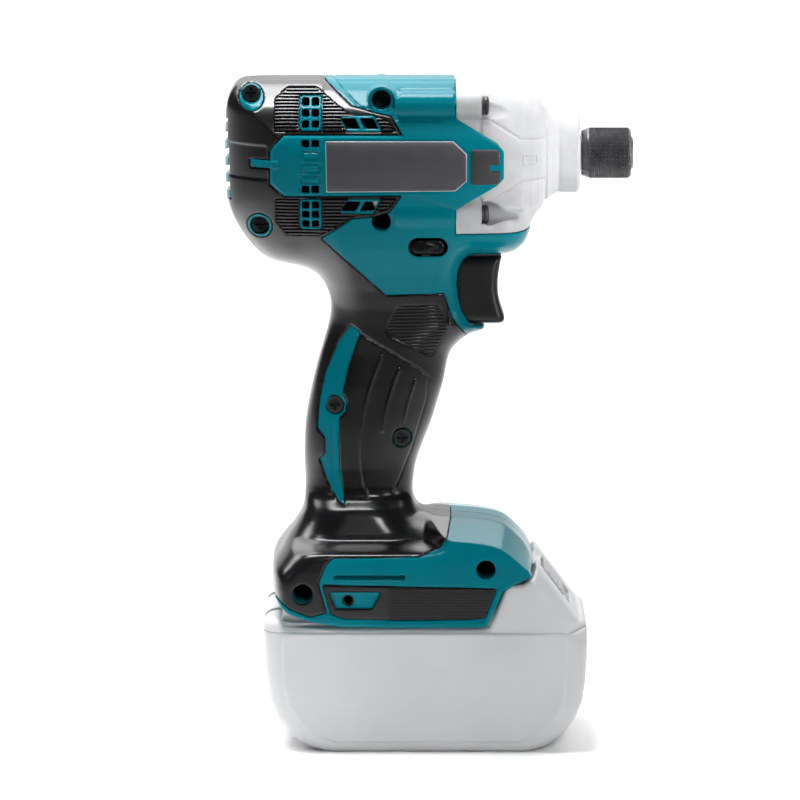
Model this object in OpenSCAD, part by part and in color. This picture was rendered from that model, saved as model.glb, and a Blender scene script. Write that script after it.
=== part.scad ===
// Cordless impact driver with its slide-on battery pack.
// Millimetres. X runs forward to the bit, Y to the tool's left, Z up.
// The pack stands on Z = 0 and the mould split is the plane Y = 0.

/* [Barrel] */
// height of the spindle axis above the table
axis_z = 213; // [205:0.5:222]
// outer radius of the motor barrel
barrel_r = 28.5; // [27:0.1:31]
// wall thickness of the moulded housing
wall = 2.7; // [1.8:0.1:3.5]
// rearmost point of the housing
rear_x = -73.5; // [-80:0.5:-68]
// plane where the housing ends and the hammer case begins
front_x = 9.3; // [6:0.1:12]
// thickness of the soft grip layer
grip_t = 1.2; // [0.8:0.1:2]

/* [Drive] */
// gear module
gear_m = 0.8; // [0.6:0.05:1]
// teeth on the motor pinion
sun_z = 9; // [9:1:12]
// teeth on each planet gear
planet_z = 18; // [15:1:24]
// radius of the spindle
spindle_r = 6; // [5:0.1:7]
// outer radius of the hammer
hammer_r = 18.4; // [16:0.1:19]
// backward travel of the hammer
hammer_travel = 6.5; // [5:0.1:7]
// radius of the anvil shaft
anvil_r = 6.3; // [5.5:0.05:7]
// width across flats of the bit socket
hex_af = 6.45; // [6.35:0.05:6.6]
// depth of the bit socket
hex_depth = 25; // [18:0.5:28]
// outer radius of the chuck sleeve
sleeve_r = 9.2; // [8.5:0.1:10]

/* [Controls] */
// half width of the trigger
trigger_hw = 9.8; // [8:0.1:11]
// travel of the trigger
trigger_travel = 6.5; // [4:0.1:8]
// length of the reverse lever across the tool
lever_len = 50.4; // [48:0.2:54]

/* [Pack] */
// half width of the battery pack
pack_hw = 37.4; // [35:0.1:39]
// half width of the raised slide block on the pack
block_hw = 33.8; // [32:0.1:34]
// height of the joint between the two pack cases
pack_split = 40; // [36:0.5:42]
// radius of one cell
cell_r = 9; // [8.8:0.1:9.2]

/* [Hidden] */
$fn = 64;
eps = 0.01;
ring_z = sun_z + 2 * planet_z;
cdist = gear_m * (sun_z + planet_z) / 2;
bi_r = barrel_r - wall;
NS = 10;

TEAL = [0.02, 0.45, 0.5];
DARK = [0.17, 0.17, 0.18];
ALU = [0.78, 0.79, 0.8];
STEEL = [0.6, 0.61, 0.63];
BLACK = [0.08, 0.08, 0.09];
PALE = [0.84, 0.84, 0.85];
BRASS = [0.78, 0.62, 0.3];
COPPER = [0.75, 0.42, 0.25];

// lower body sections: height, rear x, front x, half width, squareness
LOW = [
    [53.5, -54.5, 23.8, 39.3, 5], [60, -57, 26.4, 39.5, 5], [62, -57, 27.6, 39.5, 5],
    [62.4, -57, 33.2, 39.5, 5], [64.3, -57, 37.4, 39.4, 5], [66.5, -56.7, 38.2, 38.8, 4.7], [70, -54.3, 37, 37, 4.2],
    [75, -50.5, 34, 33, 3.6], [79, -47.8, 29.8, 28, 3.2], [81.6, -46.4, 25.8, 24.2, 3], [83.2, -45.6, 17, 21.4, 2.9],
    [84, -45.2, 5, 19.9, 2.8], [86, -44.9, -3.5, 18.4, 2.7], [89.4, -44.6, -5.6, 17.6, 2.6], 
    [100, -44.8, -4.6, 17.2, 2.6], [115, -44.5, 0.8, 17.5, 2.6], 
    [130, -41.8, 5.3, 17.4, 2.6], [142, -38.6, 8, 17, 2.6], [145, -37.7, 10.7, 17, 2.7],
    [147.5, -36.9, 14.4, 17, 2.8], [150, -36.2, 20.3, 17, 2.9], [152, -35.8, 18.9, 17, 2.9],
    [154.3, -35.4, 16.3, 17, 2.9], [158.6, -35.2, 13.5, 17.2, 2.9], [165, -37, 11.6, 18, 3], 
    [171, -42.5, 11.8, 19.7, 3], [173.5, -48, 12.6, 20.6, 3], [175, -57, 14, 21.2, 3.1], [176.6, -60.5, 18.5, 22, 3.2],
    [177, -61, 27, 22.2, 3.2], [178.3, -62.2, 31, 22.8, 3.2], [181, -64.5, 34.3, 24, 3.2], [184.5, -66.5, 36, 25, 3.2],
    [186.5, -67.4, 36.8, 25.6, 3.2], [187, -67.5, 9, 25.7, 3.2], [199, -70, 8.9, 26.8, 3.2],
    [206, -70.2, 8.8, 27, 3.2]];
// hollow of the lower body
LOWIN = [
    [56, -52, 21.4, 36.4, 5], [63, -54.2, 25.2, 36.6, 5], [65.2, -53.6, 35, 36, 4.7],
    [72, -48.6, 31.6, 30.5, 3.6], [76, -45.6, 27, 25.5, 3.2], [79, -44, 20, 21, 3],
    [80.8, -43, 6, 18, 2.8], [83, -42.5, -5, 15.8, 2.7], [100, -42.2, -7.3, 14.5, 2.6],
    [115, -41.9, -1.9, 14.8, 2.6], [130, -39.2, 2.6, 14.7, 2.6], [142, -36, 5.2, 14.3, 2.6], [150, -33.6, 8, 14.2, 2.7],
    [158, -32.6, 9.2, 14.4, 2.8], [166, -34.5, 8.6, 15.4, 2.9], [172, -41, 8.8, 17.2, 3], [176, -52, 9.4, 18.9, 3],
    [178.5, -58, 12, 20, 3.1], [180.2, -60, 28, 20.8, 3.2], [184, -62.8, 32, 22, 3.2], [185.8, -63.8, 32.6, 22.8, 3.2],
    [186.3, -64, 6, 22.9, 3.2], [199, -66.6, 6, 24, 3.2], [205, -67, 6, 24.2, 3.2]];

function section(L, d, dz) = [for (i = [0 : NS]) let (a = 180 * i / NS, c = cos(a), s = sin(a), e = 2 / L[4],
    xc = (L[1] + L[2]) / 2, h = (L[2] - L[1]) / 2 - d)
    [i == NS / 2 ? xc : xc + h * sign(c) * pow(abs(c), e), i == 0 || i == NS ? 0.5 : -(L[3] - d) * pow(abs(s), e), L[0] + dz]];

// right half of a body given by stacked sections, inset by d; it reaches 0.5 past the mould split
module half_loft(T, d = 0) {
    n = NS + 1;
    m = len(T);
    pts = [for (k = [0 : m - 1]) each section(T[k], d, k == 0 ? d : k == m - 1 ? -d : 0)];
    polyhedron(points = pts, faces = concat(
        [for (k = [0 : m - 2]) for (i = [0 : NS - 1]) each [
            [k * n + i, k * n + i + 1, (k + 1) * n + i + 1], [k * n + i, (k + 1) * n + i + 1, (k + 1) * n + i]]],
        [for (k = [0 : m - 2]) each [[k * n + NS, k * n, (k + 1) * n], [k * n + NS, (k + 1) * n, (k + 1) * n + NS]]],
        [[for (i = [NS : -1 : 0]) i]], [[for (i = [0 : NS]) (m - 1) * n + i]]), convexity = 8);
}

// solid of revolution about the spindle axis from [x, r] points
module xrev(p, fn = 64) {
    translate([0, 0, axis_z]) rotate([0, 90, 0]) rotate_extrude($fn = fn) polygon([for (q = p) [q[1], q[0]]]);
}
module xcyl(r, x0, x1, y = 0, z = axis_z, fn = 48) {
    translate([x0, y, z]) rotate([0, 90, 0]) cylinder(r = r, h = x1 - x0, $fn = fn);
}
module xtube(ri, ro, x0, x1, y = 0, z = axis_z, fn = 48) {
    difference() { xcyl(ro, x0, x1, y, z, fn); xcyl(ri, x0 - 1, x1 + 1, y, z, fn); }
}
module ycyl(r, y0, y1, x, z, fn = 32) {
    translate([x, y0, z]) rotate([-90, 0, 0]) cylinder(r = r, h = y1 - y0, $fn = fn);
}
// side outline [x, z] carried across the tool from y0 to y1
module yprism(p, y0, y1) {
    translate([0, y1, 0]) rotate([90, 0, 0]) linear_extrude(height = y1 - y0) polygon(p);
}
module box(a, b) { translate(a) cube([b[0] - a[0], b[1] - a[1], b[2] - a[2]]); }

// round bar along a list of points; ref gives the direction of the first side
module bar_along(P, r, ref, ns = 6) {
    m = len(P);
    T = [for (i = [0 : m - 1]) let (d = P[min(i + 1, m - 1)] - P[max(i - 1, 0)]) d / norm(d)];
    pts = [for (i = [0 : m - 1]) let (u0 = cross(T[i], ref[i]), u = u0 / norm(u0), v = cross(u, T[i]))
        for (k = [0 : ns - 1]) P[i] + r * (cos(360 * k / ns) * u + sin(360 * k / ns) * v)];
    polyhedron(points = pts, faces = concat(
        [for (i = [0 : m - 2]) for (k = [0 : ns - 1]) let (q = (k + 1) % ns) each [
            [i * ns + k, (i + 1) * ns + k, (i + 1) * ns + q], [i * ns + k, (i + 1) * ns + q, i * ns + q]]],
        [[for (k = [0 : ns - 1]) k]], [[for (k = [ns - 1 : -1 : 0]) (m - 1) * ns + k]]), convexity = 10);
}
// coil spring about an axis along X
module xcoil(r, w, x0, x1, turns, y = 0, z = axis_z, seg = 10) {
    n = turns * seg;
    P = [for (i = [0 : n]) [x0 + w + (x1 - x0 - 2 * w) * i / n, y + r * cos(360 * i / seg), z + r * sin(360 * i / seg)]];
    ref = [for (i = [0 : n]) [0, cos(360 * i / seg), sin(360 * i / seg)]];
    bar_along(P, w, ref, 5);
}

// housing outlines, [x, z]
GRIP = [[-37.6, 250], [-37.6, 240.8], [-27.4, 232.3], [-18.9, 230.1], [-13.2, 228.9], [-9.6, 222.3], [-51.5, 222.3],
    [-55.1, 218.8], [-56.6, 216.8], [-56.6, 204.6], [-51.6, 200.6], [-9.6, 200.9], [-13.9, 194.7], [-18.9, 193.1],
    [-27.5, 192.2], [-34.3, 187.6], [-38.2, 185], [-15.4, 163.6], [5.4, 164.2], [8.3, 155.2], [14.1, 147.4], [20, 143],
    [9, 88], [9.1, 84.7], [8.3, 82.2], [6.8, 78.6], [4, 74.4], [-3.2, 71.7], [-34.3, 71.2], [-36.5, 69], [-39, 62.9],
    [-48, 59.5], [-60, 57], [-80, 57], [-80, 250]];
PANEL = [[-51.3, 221.9], [-54.9, 218.4], [-56.1, 216.5], [-56.1, 205], [-51.4, 201], [-9, 201.2], [-2, 199.5], [9.2, 197],
    [24.1, 204.2], [26.6, 206.9], [26.6, 216.8], [24.1, 219.8], [9.2, 227], [-2, 225.5], [-9, 221.9]];
SKIRT = [[26.2, 60], [23.7, 52.9], [20.8, 46.7], [-10.3, 46.3], [-31.8, 46.7], [-42.6, 48.3], [-49.8, 51.1], [-53.5, 54], [-53.5, 60]];
// closing screws, [x, z]
SCREWS = [[-63.5, 236.3], [-60.5, 189.2], [-17, 234.6], [-17, 191.4], [-33.8, 123.5], [-9.6, 111.4], [20.4, 67.5], [-45.2, 58.7]];
// hammer case screws, [y, z offset]
EARS = [[-22, 19.5], [-22, -19.5], [22, 19.5], [22, -19.5]];
REAR = [[rear_x, 0], [rear_x, 14], [rear_x + 0.8, 19.5], [rear_x + 3, 24], [rear_x + 6.5, 27], [rear_x + 11, barrel_r]];

module body_outer(d) {
    xrev(concat([for (q = REAR) [q[0] + d, max(0, q[1] - (q[1] > 0 ? d : 0))]], [[front_x, barrel_r - d], [front_x, 0]]), 48);
    half_loft(LOW, d);
}
module body_hollow() {
    xrev([[-70.6, 0], [-70.6, 17], [-69, 21.5], [-66.5, 24.2], [-62, bi_r], [front_x + 1, bi_r], [front_x + 1, 0]], 48);
    half_loft(LOWIN);
}
module half_space() { box([-100, -60, 40], [60, 0, 250]); }
function plan(hw, x0, x1, n, k = 40) = let (xc = (x0 + x1) / 2, h = (x1 - x0) / 2) [for (i = [0 : k - 1]) let (a = 360 * i / k, c = cos(a), s = sin(a))
    [xc + h * sign(c) * pow(abs(c), 2 / n), hw * sign(s) * pow(abs(s), 2 / n)]];

// tapered screw boss from the outer face to the mould split
module boss(x, z, y0) {
    hull() { ycyl(4.8, y0, y0 + 0.1, x, z, 14); ycyl(4.6, -0.15, -0.05, x, z, 14); }
}
// rounded air hole through one side of the barrel
module air_hole(x, z, hx, hz) {
    hull() for (i = [-1, 1]) translate([x + i * (hx - 0.6), -40, z]) rotate([-90, 0, 0]) rotate(22.5) cylinder(r = hz, h = 28, $fn = 8);
}
module air_grilles() {
    for (x = [-43.9, -40.3]) for (z = [190.4, 194, 197.6, 228.4, 232, 235.2]) air_hole(x, z, 1.2, 1.1);
    for (x = [-28.6, -22.4]) for (z = [196.7, 226.2]) air_hole(x, z, 2.2, 1.4);
}
module ear_ridges() {
    for (e = EARS) if (e[0] < 0) xcyl(5, -12, front_x - 0.06, e[0], axis_z + e[1], 16);
}
module housing_half(right) {
    difference() {
        union() {
            difference() {
                intersection() {
                    union() {
                        body_outer(0);
                        ear_ridges();
                        intersection() { yprism(SKIRT, -45, 0); translate([0, 0, 46]) linear_extrude(height = 15) polygon(plan(39.4, -56.5, 30, 5)); }
                    }
                    half_space();
                }
                // soft grip layer is a piece of its own
                difference() { yprism(GRIP, -60, 1); body_outer(grip_t); }
                body_hollow();
                xcyl(28.6, front_x + 0.06, 70, 0, axis_z, 48);
                box([-70, -34.3, 40], [60, 1, 53.5]);
                // terminal opening in the floor
                box([-39, -23, 50], [-15, 1, 58]);
            }
            // raised side panel that laps over the hammer case
            intersection() {
                difference() { xcyl(29.2, -57, 27, 0, axis_z, 48); xcyl(27.95, -58, 28, 0, axis_z, 48); }
                yprism(PANEL, -40, -5);
            }
            // rails for the pack
            box([-40, -35, 47.6], [19, -31.6, 49.4]);
            // seats for the motor and the rear bearing
            intersection() {
                union() {
                    xtube(22.6, 26.6, -49.6, -47.6, 0, axis_z, 32);
                    xtube(22.6, 26.6, -35, -33, 0, axis_z, 32);
                    xtube(24.4, 26.6, -4, -2, 0, axis_z, 32);
                    xtube(8.15, 11, -72, -64.5, 0, axis_z, 24);
                }
                half_space();
            }
            for (s = SCREWS) boss(s[0], s[1], s[1] == 191.4 ? -25 : s[1] > 180 ? -16 : s[1] > 100 ? -15.4 : -34);
        }
        for (s = SCREWS) {
            if (right) { ycyl(3.4, -60, -13, s[0], s[1], 14); ycyl(1.75, -14, 1, s[0], s[1], 12); }
            else { ycyl(1.6, -12.6, 1, s[0], s[1], 12); }
        }
        for (e = EARS) if (e[0] < 0) xcyl(1.8, -3, 12, e[0], axis_z + e[1], 12);
        for (e = EARS) if (e[0] < 0) xcyl(5, front_x + 0.1, 24, e[0], axis_z + e[1], 16);
        // air grilles
        air_grilles();
        // trigger, reverse lever, lamp and hook insert openings
        box([4, -10.2, 151.4], [45, 1, 176.8]);
        hull() { ycyl(3.25, -40, 0.5, -3.9, 181.8, 24); ycyl(3.25, -40, 0.5, 3.2, 181.8, 24); }
        box([24, -5, 180.6], [42, 1, 185.4]);
        ycyl(3.1, -45, -30, -29, 56.2, 24);
    }
}
module right_housing() { color(TEAL) housing_half(true); }
module left_housing() { color(TEAL) mirror([0, 1, 0]) housing_half(false); }

module grip_half(right) {
    difference() {
        intersection() {
            difference() { body_outer(0); body_outer(grip_t); }
            yprism(GRIP, -60, 0);
        }
        for (s = SCREWS) if (right) ycyl(3.6, -60, -8, s[0], s[1], 14);
        air_grilles();
        box([4, -10.2, 151.4], [45, 1, 176.8]);
    }
}
module right_grip() { color(DARK) grip_half(true); }
module left_grip() { color(DARK) mirror([0, 1, 0]) grip_half(false); }

module skin_patch(r0, r1, x0, x1, z0, z1) {
    for (m = [0, 1]) mirror([0, m, 0]) intersection() {
        xtube(r0, r1, x0, x1, 0, axis_z, 72);
        box([x0, -40, z0], [x1, -5, z1]);
    }
}
module side_labels() { color([0.1, 0.1, 0.11]) skin_patch(29.22, 29.5, -36.5, 13, 203.4, 220); }
module side_pads() { color(BLACK) skin_patch(29.22, 30, 15.2, 25, 205.4, 217.4); }

module housing_screws() {
    color(STEEL) for (s = SCREWS) difference() {
        union() { ycyl(3, -15.2, -13, s[0], s[1]); ycyl(1.5, -13.5, 9, s[0], s[1]); }
        box([s[0] - 1.9, -16, s[1] - 0.4], [s[0] + 1.9, -14, s[1] + 0.4]);
        box([s[0] - 0.4, -16, s[1] - 1.9], [s[0] + 0.4, -14, s[1] + 1.9]);
    }
}

module hammer_case() {
    color(ALU) difference() {
        union() {
            xrev([[2.2, 0], [2.2, 25.6], [9.6, 25.6], [9.6, 27.8], [17, 27.3], [25.6, 25.6], [33, 23.8], [37, 22], [39.6, 19.8], [41.2, 17.4], [42, 16.4],
                [44, 15], [46.4, 14], [47.6, 14.2], [53.4, 14.2], [54.3, 13.2], [54.3, 0]]);
            for (e = EARS) xcyl(4.4, 9.6, 19.5, e[0], axis_z + e[1], 32);
            // saddle that rests on the housing's chin
            intersection() {
                translate([0, 0, 187.2]) linear_extrude(height = 7.6) polygon(plan(25.2, -67, 36.6, 3.2));
                box([9.7, -30, 186], [40, 30, 200]);
            }
        }
        xrev([[1, 0], [1, 23], [11, 23], [11, 21], [13, 19.6], [35, 19.6], [37.6, 19], [38.4, 17.4], [38.4, 8.4], [56, 8.4], [56, 0]]);
        for (e = EARS) { xcyl(2, 8, 22, e[0], axis_z + e[1], 24); xcyl(4.8, 19.5, 45, e[0], axis_z + e[1], 32); }
    }
}
module hammer_case_screws() {
    color(BLACK) for (e = EARS) difference() {
        union() { xcyl(1.6, 0, 20, e[0], axis_z + e[1], 24); xcyl(3.6, 19.55, 22.6, e[0], axis_z + e[1], 32); }
        box([21, e[0] - 2.2, axis_z + e[1] - 0.5], [23, e[0] + 2.2, axis_z + e[1] + 0.5]);
        box([21, e[0] - 0.5, axis_z + e[1] - 2.2], [23, e[0] + 0.5, axis_z + e[1] + 2.2]);
    }
}
module nose_bush() { color(BRASS) xtube(anvil_r + 0.05, 8.4, 39.6, 54); }

module bearing_box() {
    color([0.25, 0.26, 0.28]) xrev([[-12, 7.5], [-12, 11], [-6, 13], [-6, 24.2], [1.9, 24.2], [1.9, 22.8], [3.2, 22.8], [3.2, 13.2], [2.6, 12],
        [-2.6, 12], [-2.6, 9], [-5.6, 9], [-5.6, 5], [-6.2, 5], [-6.2, 7.5]]);
}
// rolling bearing: two rings and a cage of balls drawn as one closed unit
module bearing(ri, ro, x0, x1) {
    t = (ro - ri) * 0.28;
    xrev([[x0, ri], [x0, ri + t], [x0 + 0.5, ri + t], [x0 + 0.5, ro - t], [x0, ro - t], [x0, ro], [x1, ro], [x1, ro - t], [x1 - 0.5, ro - t],
        [x1 - 0.5, ri + t], [x1, ri + t], [x1, ri]], 48);
}
module spindle_bearing() { color(STEEL) bearing(7.55, 12, -2.5, 2.5); }
module front_bearing() { color(STEEL) bearing(3.03, 7.5, -11.5, -6.5); }
module rear_bearing() { color(STEEL) bearing(2.53, 8, -69.5, -64.5); }

// gear outline; half_t is half the tooth thickness on the pitch circle
function inva(a) = tan(a) * 180 / PI - a;
function tooth_half(r, rp, half_t) = let (rb = rp * cos(25)) half_t / rp * 180 / PI + inva(25) - (r > rb ? inva(acos(rb / r)) : 0);
function gear_pts(z, r0, r1, half_t) = let (rp = gear_m * z / 2, n = 3)
    [for (i = [0 : z - 1]) each concat(
        [for (k = [0 : n]) let (r = r0 + (r1 - r0) * k / n, a = 360 * i / z - tooth_half(r, rp, half_t)) [r * cos(a), r * sin(a)]],
        [for (k = [n : -1 : 0]) let (r = r0 + (r1 - r0) * k / n, a = 360 * i / z + tooth_half(r, rp, half_t)) [r * cos(a), r * sin(a)]])];
// outline drawn in the plane across the axis, angle measured from +Z
module xgear(p, x0, x1, turn) {
    translate([x0, 0, 0]) rotate([0, 90, 0]) linear_extrude(height = x1 - x0) rotate(180 + turn) polygon(p);
}
half_t0 = PI * gear_m / 4;
module ring_gear() {
    color(STEEL) difference() {
        xcyl(22.9, 4.8, 10.8, 0, axis_z, 64);
        translate([0, 0, axis_z]) xgear(gear_pts(ring_z, gear_m * ring_z / 2 - 0.64, gear_m * ring_z / 2 + 0.9, half_t0 + 0.06), 4, 12, 0);
    }
}
module pinion() {
    color(STEEL) difference() {
        translate([0, 0, axis_z]) xgear(gear_pts(sun_z, gear_m * sun_z / 2 - 0.9, gear_m * sun_z / 2 + 0.64, half_t0 - 0.06), -0.8, 10.2, 180 / sun_z);
        xcyl(2, -2, 12, 0, axis_z, 32);
    }
}
module planet(dz, turn) {
    difference() {
        translate([0, 0, axis_z + dz]) xgear(gear_pts(planet_z, gear_m * planet_z / 2 - 0.9, gear_m * planet_z / 2 + 0.64, half_t0 - 0.06), 5.4, 10.2, turn);
        xcyl(2.55, 4, 12, 0, axis_z + dz, 32);
    }
}
module planet_gear_a() { color(STEEL) planet(cdist, 0); }
module planet_gear_b() { color(STEEL) planet(-cdist, 180 / planet_z); }
module planet_pins() { color([0.8, 0.8, 0.82]) for (s = [-1, 1]) xcyl(2.5, 3.2, 13.4, 0, axis_z + s * cdist, 32); }

module spindle() {
    color([0.5, 0.51, 0.54]) difference() {
        union() {
            xcyl(7.5, -2.5, 3.4, 0, axis_z, 48);
            xcyl(16.6, 3.3, 5.1, 0, axis_z, 64);
            for (s = [-1, 1]) box([5, s > 0 ? 9.2 : -13.5, axis_z - 4.5], [10.7, s > 0 ? 13.5 : -9.2, axis_z + 4.5]);
            xcyl(16.6, 10.5, 13.6, 0, axis_z, 64);
            xcyl(spindle_r, 13.5, 32.5, 0, axis_z, 48);
            xcyl(3, 32.4, 44, 0, axis_z, 32);
        }
        xcyl(5.2, -3, 10.5, 0, axis_z, 48);
        for (s = [-1, 1]) xcyl(2.5, 3, 14, 0, axis_z + s * cdist, 32);
        for (s = [-1, 1]) translate([26, s * 6.2, axis_z]) sphere(r = 2.3, $fn = 32);
    }
}
module cam_balls() { color([0.85, 0.86, 0.88]) for (s = [-1, 1]) translate([26, s * 6.2, axis_z]) sphere(r = 2.25, $fn = 32); }
module spring_washer() { color(STEEL) xtube(6.3, 14.4, 13.65, 14.4); }
module hammer() {
    color([0.42, 0.43, 0.46]) difference() {
        union() {
            xrev([[20.5, 15.2], [20.5, hammer_r - 0.6], [21.1, hammer_r], [31.9, hammer_r], [32.5, hammer_r - 0.6], [32.5, 6.08], [22, 6.08], [22, 9.4], [28, 9.4], [28, 15.2]]);
            for (a = [0, 180]) translate([0, 0, axis_z]) rotate([a, 0, 0]) intersection() {
                translate([0, 0, -axis_z]) xtube(8.6, 17.6, 32.4, 37.4);
                box([32, -20, 4.6], [38, 20, 20]);
            }
        }
        for (s = [-1, 1]) hull() for (x = [26, 26 + hammer_travel]) translate([x, s * 6.2, axis_z]) sphere(r = 2.35, $fn = 24);
    }
}
module hammer_spring() { color(STEEL) xcoil(12.2, 0.9, 14.5, 27.9, 4); }

module anvil() {
    color([0.3, 0.31, 0.33]) difference() {
        union() {
            xcyl(8, 32.9, 37.9, 0, axis_z, 48);
            intersection() { xcyl(14.4, 32.9, 37.9, 0, axis_z, 64); box([32, -15, axis_z - 3.9], [39, 15, axis_z + 3.9]); }
            xrev([[37.8, 0], [37.8, anvil_r], [72.6, anvil_r], [73.5, anvil_r - 0.8], [73.5, 0]]);
        }
        xcyl(3.06, 32, 46, 0, axis_z, 32);
        translate([73.5 - hex_depth, 0, axis_z]) rotate([0, 90, 0]) rotate(30) cylinder(r = hex_af / 2 / cos(30), h = hex_depth + 1, $fn = 6);
        for (s = [-1, 1]) translate([62, 0, axis_z]) rotate([s > 0 ? 0 : 180, 0, 0]) cylinder(r = 1.8, h = 10, $fn = 32);
    }
}
module detent(s) { color([0.85, 0.86, 0.88]) translate([62, 0, axis_z + s * 4.4]) sphere(r = 1.75, $fn = 32); }
module detent_ball_a() { detent(1); }
module detent_ball_b() { detent(-1); }
module chuck_washer() { color(STEEL) xtube(anvil_r + 0.01, 7.8, 71.2, 72.2); }
module chuck_sleeve() {
    color(BLACK) xrev([[55, 7.7], [55, sleeve_r - 1.2], [56.4, sleeve_r - 0.9], [58.2, sleeve_r], [71, sleeve_r], [71.7, sleeve_r - 0.7], [71.7, 8.3], [65, 8.3],
        [65, anvil_r + 0.06], [61.5, anvil_r + 0.06], [56.5, 7.7]]);
}
module chuck_spring() { color(STEEL) xcoil(7.3, 0.35, 65.05, 71.15, 5); }

module trigger() {
    color(BLACK) difference() {
        yprism([[26.6, 176.3], [25.6, 173], [24.9, 168], [25.2, 161], [26.6, 156.4], [27.4, 153.9], [26.5, 152.3], [24, 151.9], [8.4, 151.9], [8.4, 176.1]], -trigger_hw, trigger_hw);
        xcyl(2.5, 8, 18, 0, 164, 32);
        for (s = [-1, 1]) box([21.5, s > 0 ? trigger_hw - 1.4 : -trigger_hw - 1, 150], [40, s > 0 ? trigger_hw + 1 : -trigger_hw + 1.4, 152.6]);
    }
}
module trigger_plunger() { color([0.85, 0.83, 0.75]) xcyl(2.48, -5, 17.8, 0, 164, 32); }
module trigger_spring() { color(STEEL) xcoil(3.7, 0.4, 0.55, 8.35, 5, 0, 164); }
module switch_body() {
    color([0.12, 0.12, 0.13]) difference() {
        union() { box([-24, -9.5, 152], [0.5, 9.5, 175]); box([-24, -8, 175], [-10, 8, 176.6]); }
        xcyl(2.55, -13, 2, 0, 164, 32);
        box([-6.6, -6, 172.4], [-2.4, 6, 178]);
    }
}
module reverse_lever() {
    color(BLACK) union() {
        for (m = [0, 1]) mirror([0, m, 0]) box([-3.9, -lever_len / 2, 178.9], [3.2, 0.01, 184.7]);
        for (x = [-3.9, 3.2]) ycyl(2.9, -lever_len / 2, lever_len / 2, x, 181.8);
        box([-6, -1.6, 173], [-3, 1.6, 180]);
    }
}
module led_lens() { color([0.9, 0.92, 0.95]) box([30, -4.7, 180.9], [35, 4.7, 185.1]); }
module led_board() { color([0.1, 0.35, 0.2]) box([28.2, -4.7, 180.9], [29.8, 4.7, 185.1]); }

module leads(P, r) {
    for (s = [-1, 1]) {
        Q = [for (p = P) [p[0], s * p[1], p[2]]];
        bar_along(Q, r, [for (p = Q) [0, 1, 0.001]], 8);
    }
}
module motor_leads() {
    color([0.7, 0.1, 0.1]) leads([[-24.1, 5, 170], [-29, 5, 171.4], [-36, 5.5, 174.6], [-44, 6, 179.2], [-50, 6.6, 183.4], [-53, 7.4, 187.6], [-54.2, 8.2, 192], [-54.2, 9, 196.3]], 1.1);
}
module power_leads() {
    color([0.1, 0.1, 0.1]) leads([[-30, 6, 58.2], [-29.6, 6, 64], [-28, 6, 72], [-25.6, 5.6, 84], [-24, 5, 100], [-22, 5, 116], [-18.6, 5, 132], [-15.4, 4.6, 145], [-14.6, 4.5, 151.9]], 1.3);
}

module motor_yoke() { color([0.55, 0.56, 0.58]) xtube(20.5, 22.4, -51, -22.2, 0, axis_z, 64); }
module motor_magnets() {
    color([0.2, 0.2, 0.21]) for (m = [0, 1]) mirror([0, m, 0]) intersection() {
        xtube(17, 20.4, -49, -25, 0, axis_z, 64);
        box([-50, 5.5, axis_z - 30], [-24, 30, axis_z + 30]);
    }
}
module brush_holder() {
    color([0.3, 0.22, 0.16]) difference() {
        union() {
            xtube(11, 18, -55.4, -53.2);
            for (s = [-1, 1]) box([-61, s > 0 ? 11 : -18, axis_z - 4.6], [-53.4, s > 0 ? 18 : -11, axis_z + 4.6]);
        }
        for (s = [-1, 1]) box([-60, s > 0 ? 10 : -19, axis_z - 3.2], [-54.4, s > 0 ? 19 : -10, axis_z + 3.2]);
    }
}
module carbon_brushes() {
    color([0.12, 0.12, 0.12]) difference() {
        for (s = [-1, 1]) box([-59.9, s > 0 ? 8.6 : -16.5, axis_z - 3.1], [-54.5, s > 0 ? 16.5 : -8.6, axis_z + 3.1]);
        xcyl(9.56, -63, -50, 0, axis_z, 64);
    }
}
module armature_shaft() {
    color([0.7, 0.71, 0.73]) xrev([[-70, 0], [-70, 2.5], [-63.5, 2.5], [-63.5, 4], [-21, 4], [-21, 3], [-0.8, 3], [-0.8, 2], [10, 2], [10, 0]], 48);
}
module armature_core() {
    color([0.45, 0.45, 0.47]) difference() {
        xtube(4, 16.2, -48.5, -25.5, 0, axis_z, 64);
        for (i = [0 : 11]) translate([0, 0, axis_z]) rotate([i * 30, 0, 0]) box([-50, -1.5, 7.4], [-24, 1.5, 17]);
    }
}
module armature_windings() {
    color(COPPER) union() {
        for (i = [0 : 11]) translate([0, 0, axis_z]) rotate([i * 30, 0, 0]) box([-50, -1.35, 8], [-24, 1.35, 15.2]);
        xtube(6.5, 14.6, -51.4, -48.6);
        xtube(6.5, 14.6, -25.4, -22.6);
    }
}
module commutator() {
    color(COPPER) difference() {
        xtube(4, 9.5, -62, -52.4);
        for (i = [0 : 23]) translate([0, 0, axis_z]) rotate([i * 15, 0, 0]) box([-63, -0.2, 8.8], [-52, 0.2, 10]);
    }
}
module fan() {
    color(DARK) difference() {
        union() {
            xcyl(6.5, -20.4, -13.6);
            xcyl(16, -15, -13.8, 0, axis_z, 64);
            for (i = [0 : 10]) translate([0, 0, axis_z]) rotate([i * 360 / 11, 0, 0]) box([-20, -0.6, 6], [-14, 0.6, 15.6]);
        }
        xcyl(3, -22, -12, 0, axis_z, 32);
    }
}

module terminal_block() {
    color(BLACK) union() { box([-38.6, -22.6, 53.7], [-15.4, 22.6, 56.1]); box([-38.6, -22.6, 56.05], [-15.4, 22.6, 58]); }
}
module terminal_blades() { color(BRASS) for (s = [-1, 1]) box([-37, s * 15 - 0.4, 46.8], [-24, s * 15 + 0.4, 53.65]); }
module hook_inserts() {
    color(BRASS) for (m = [0, 1]) mirror([0, m, 0]) difference() {
        ycyl(3, -39.2, -34.5, -29, 56.2);
        ycyl(1.65, -41, -33, -29, 56.2);
    }
}

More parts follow.
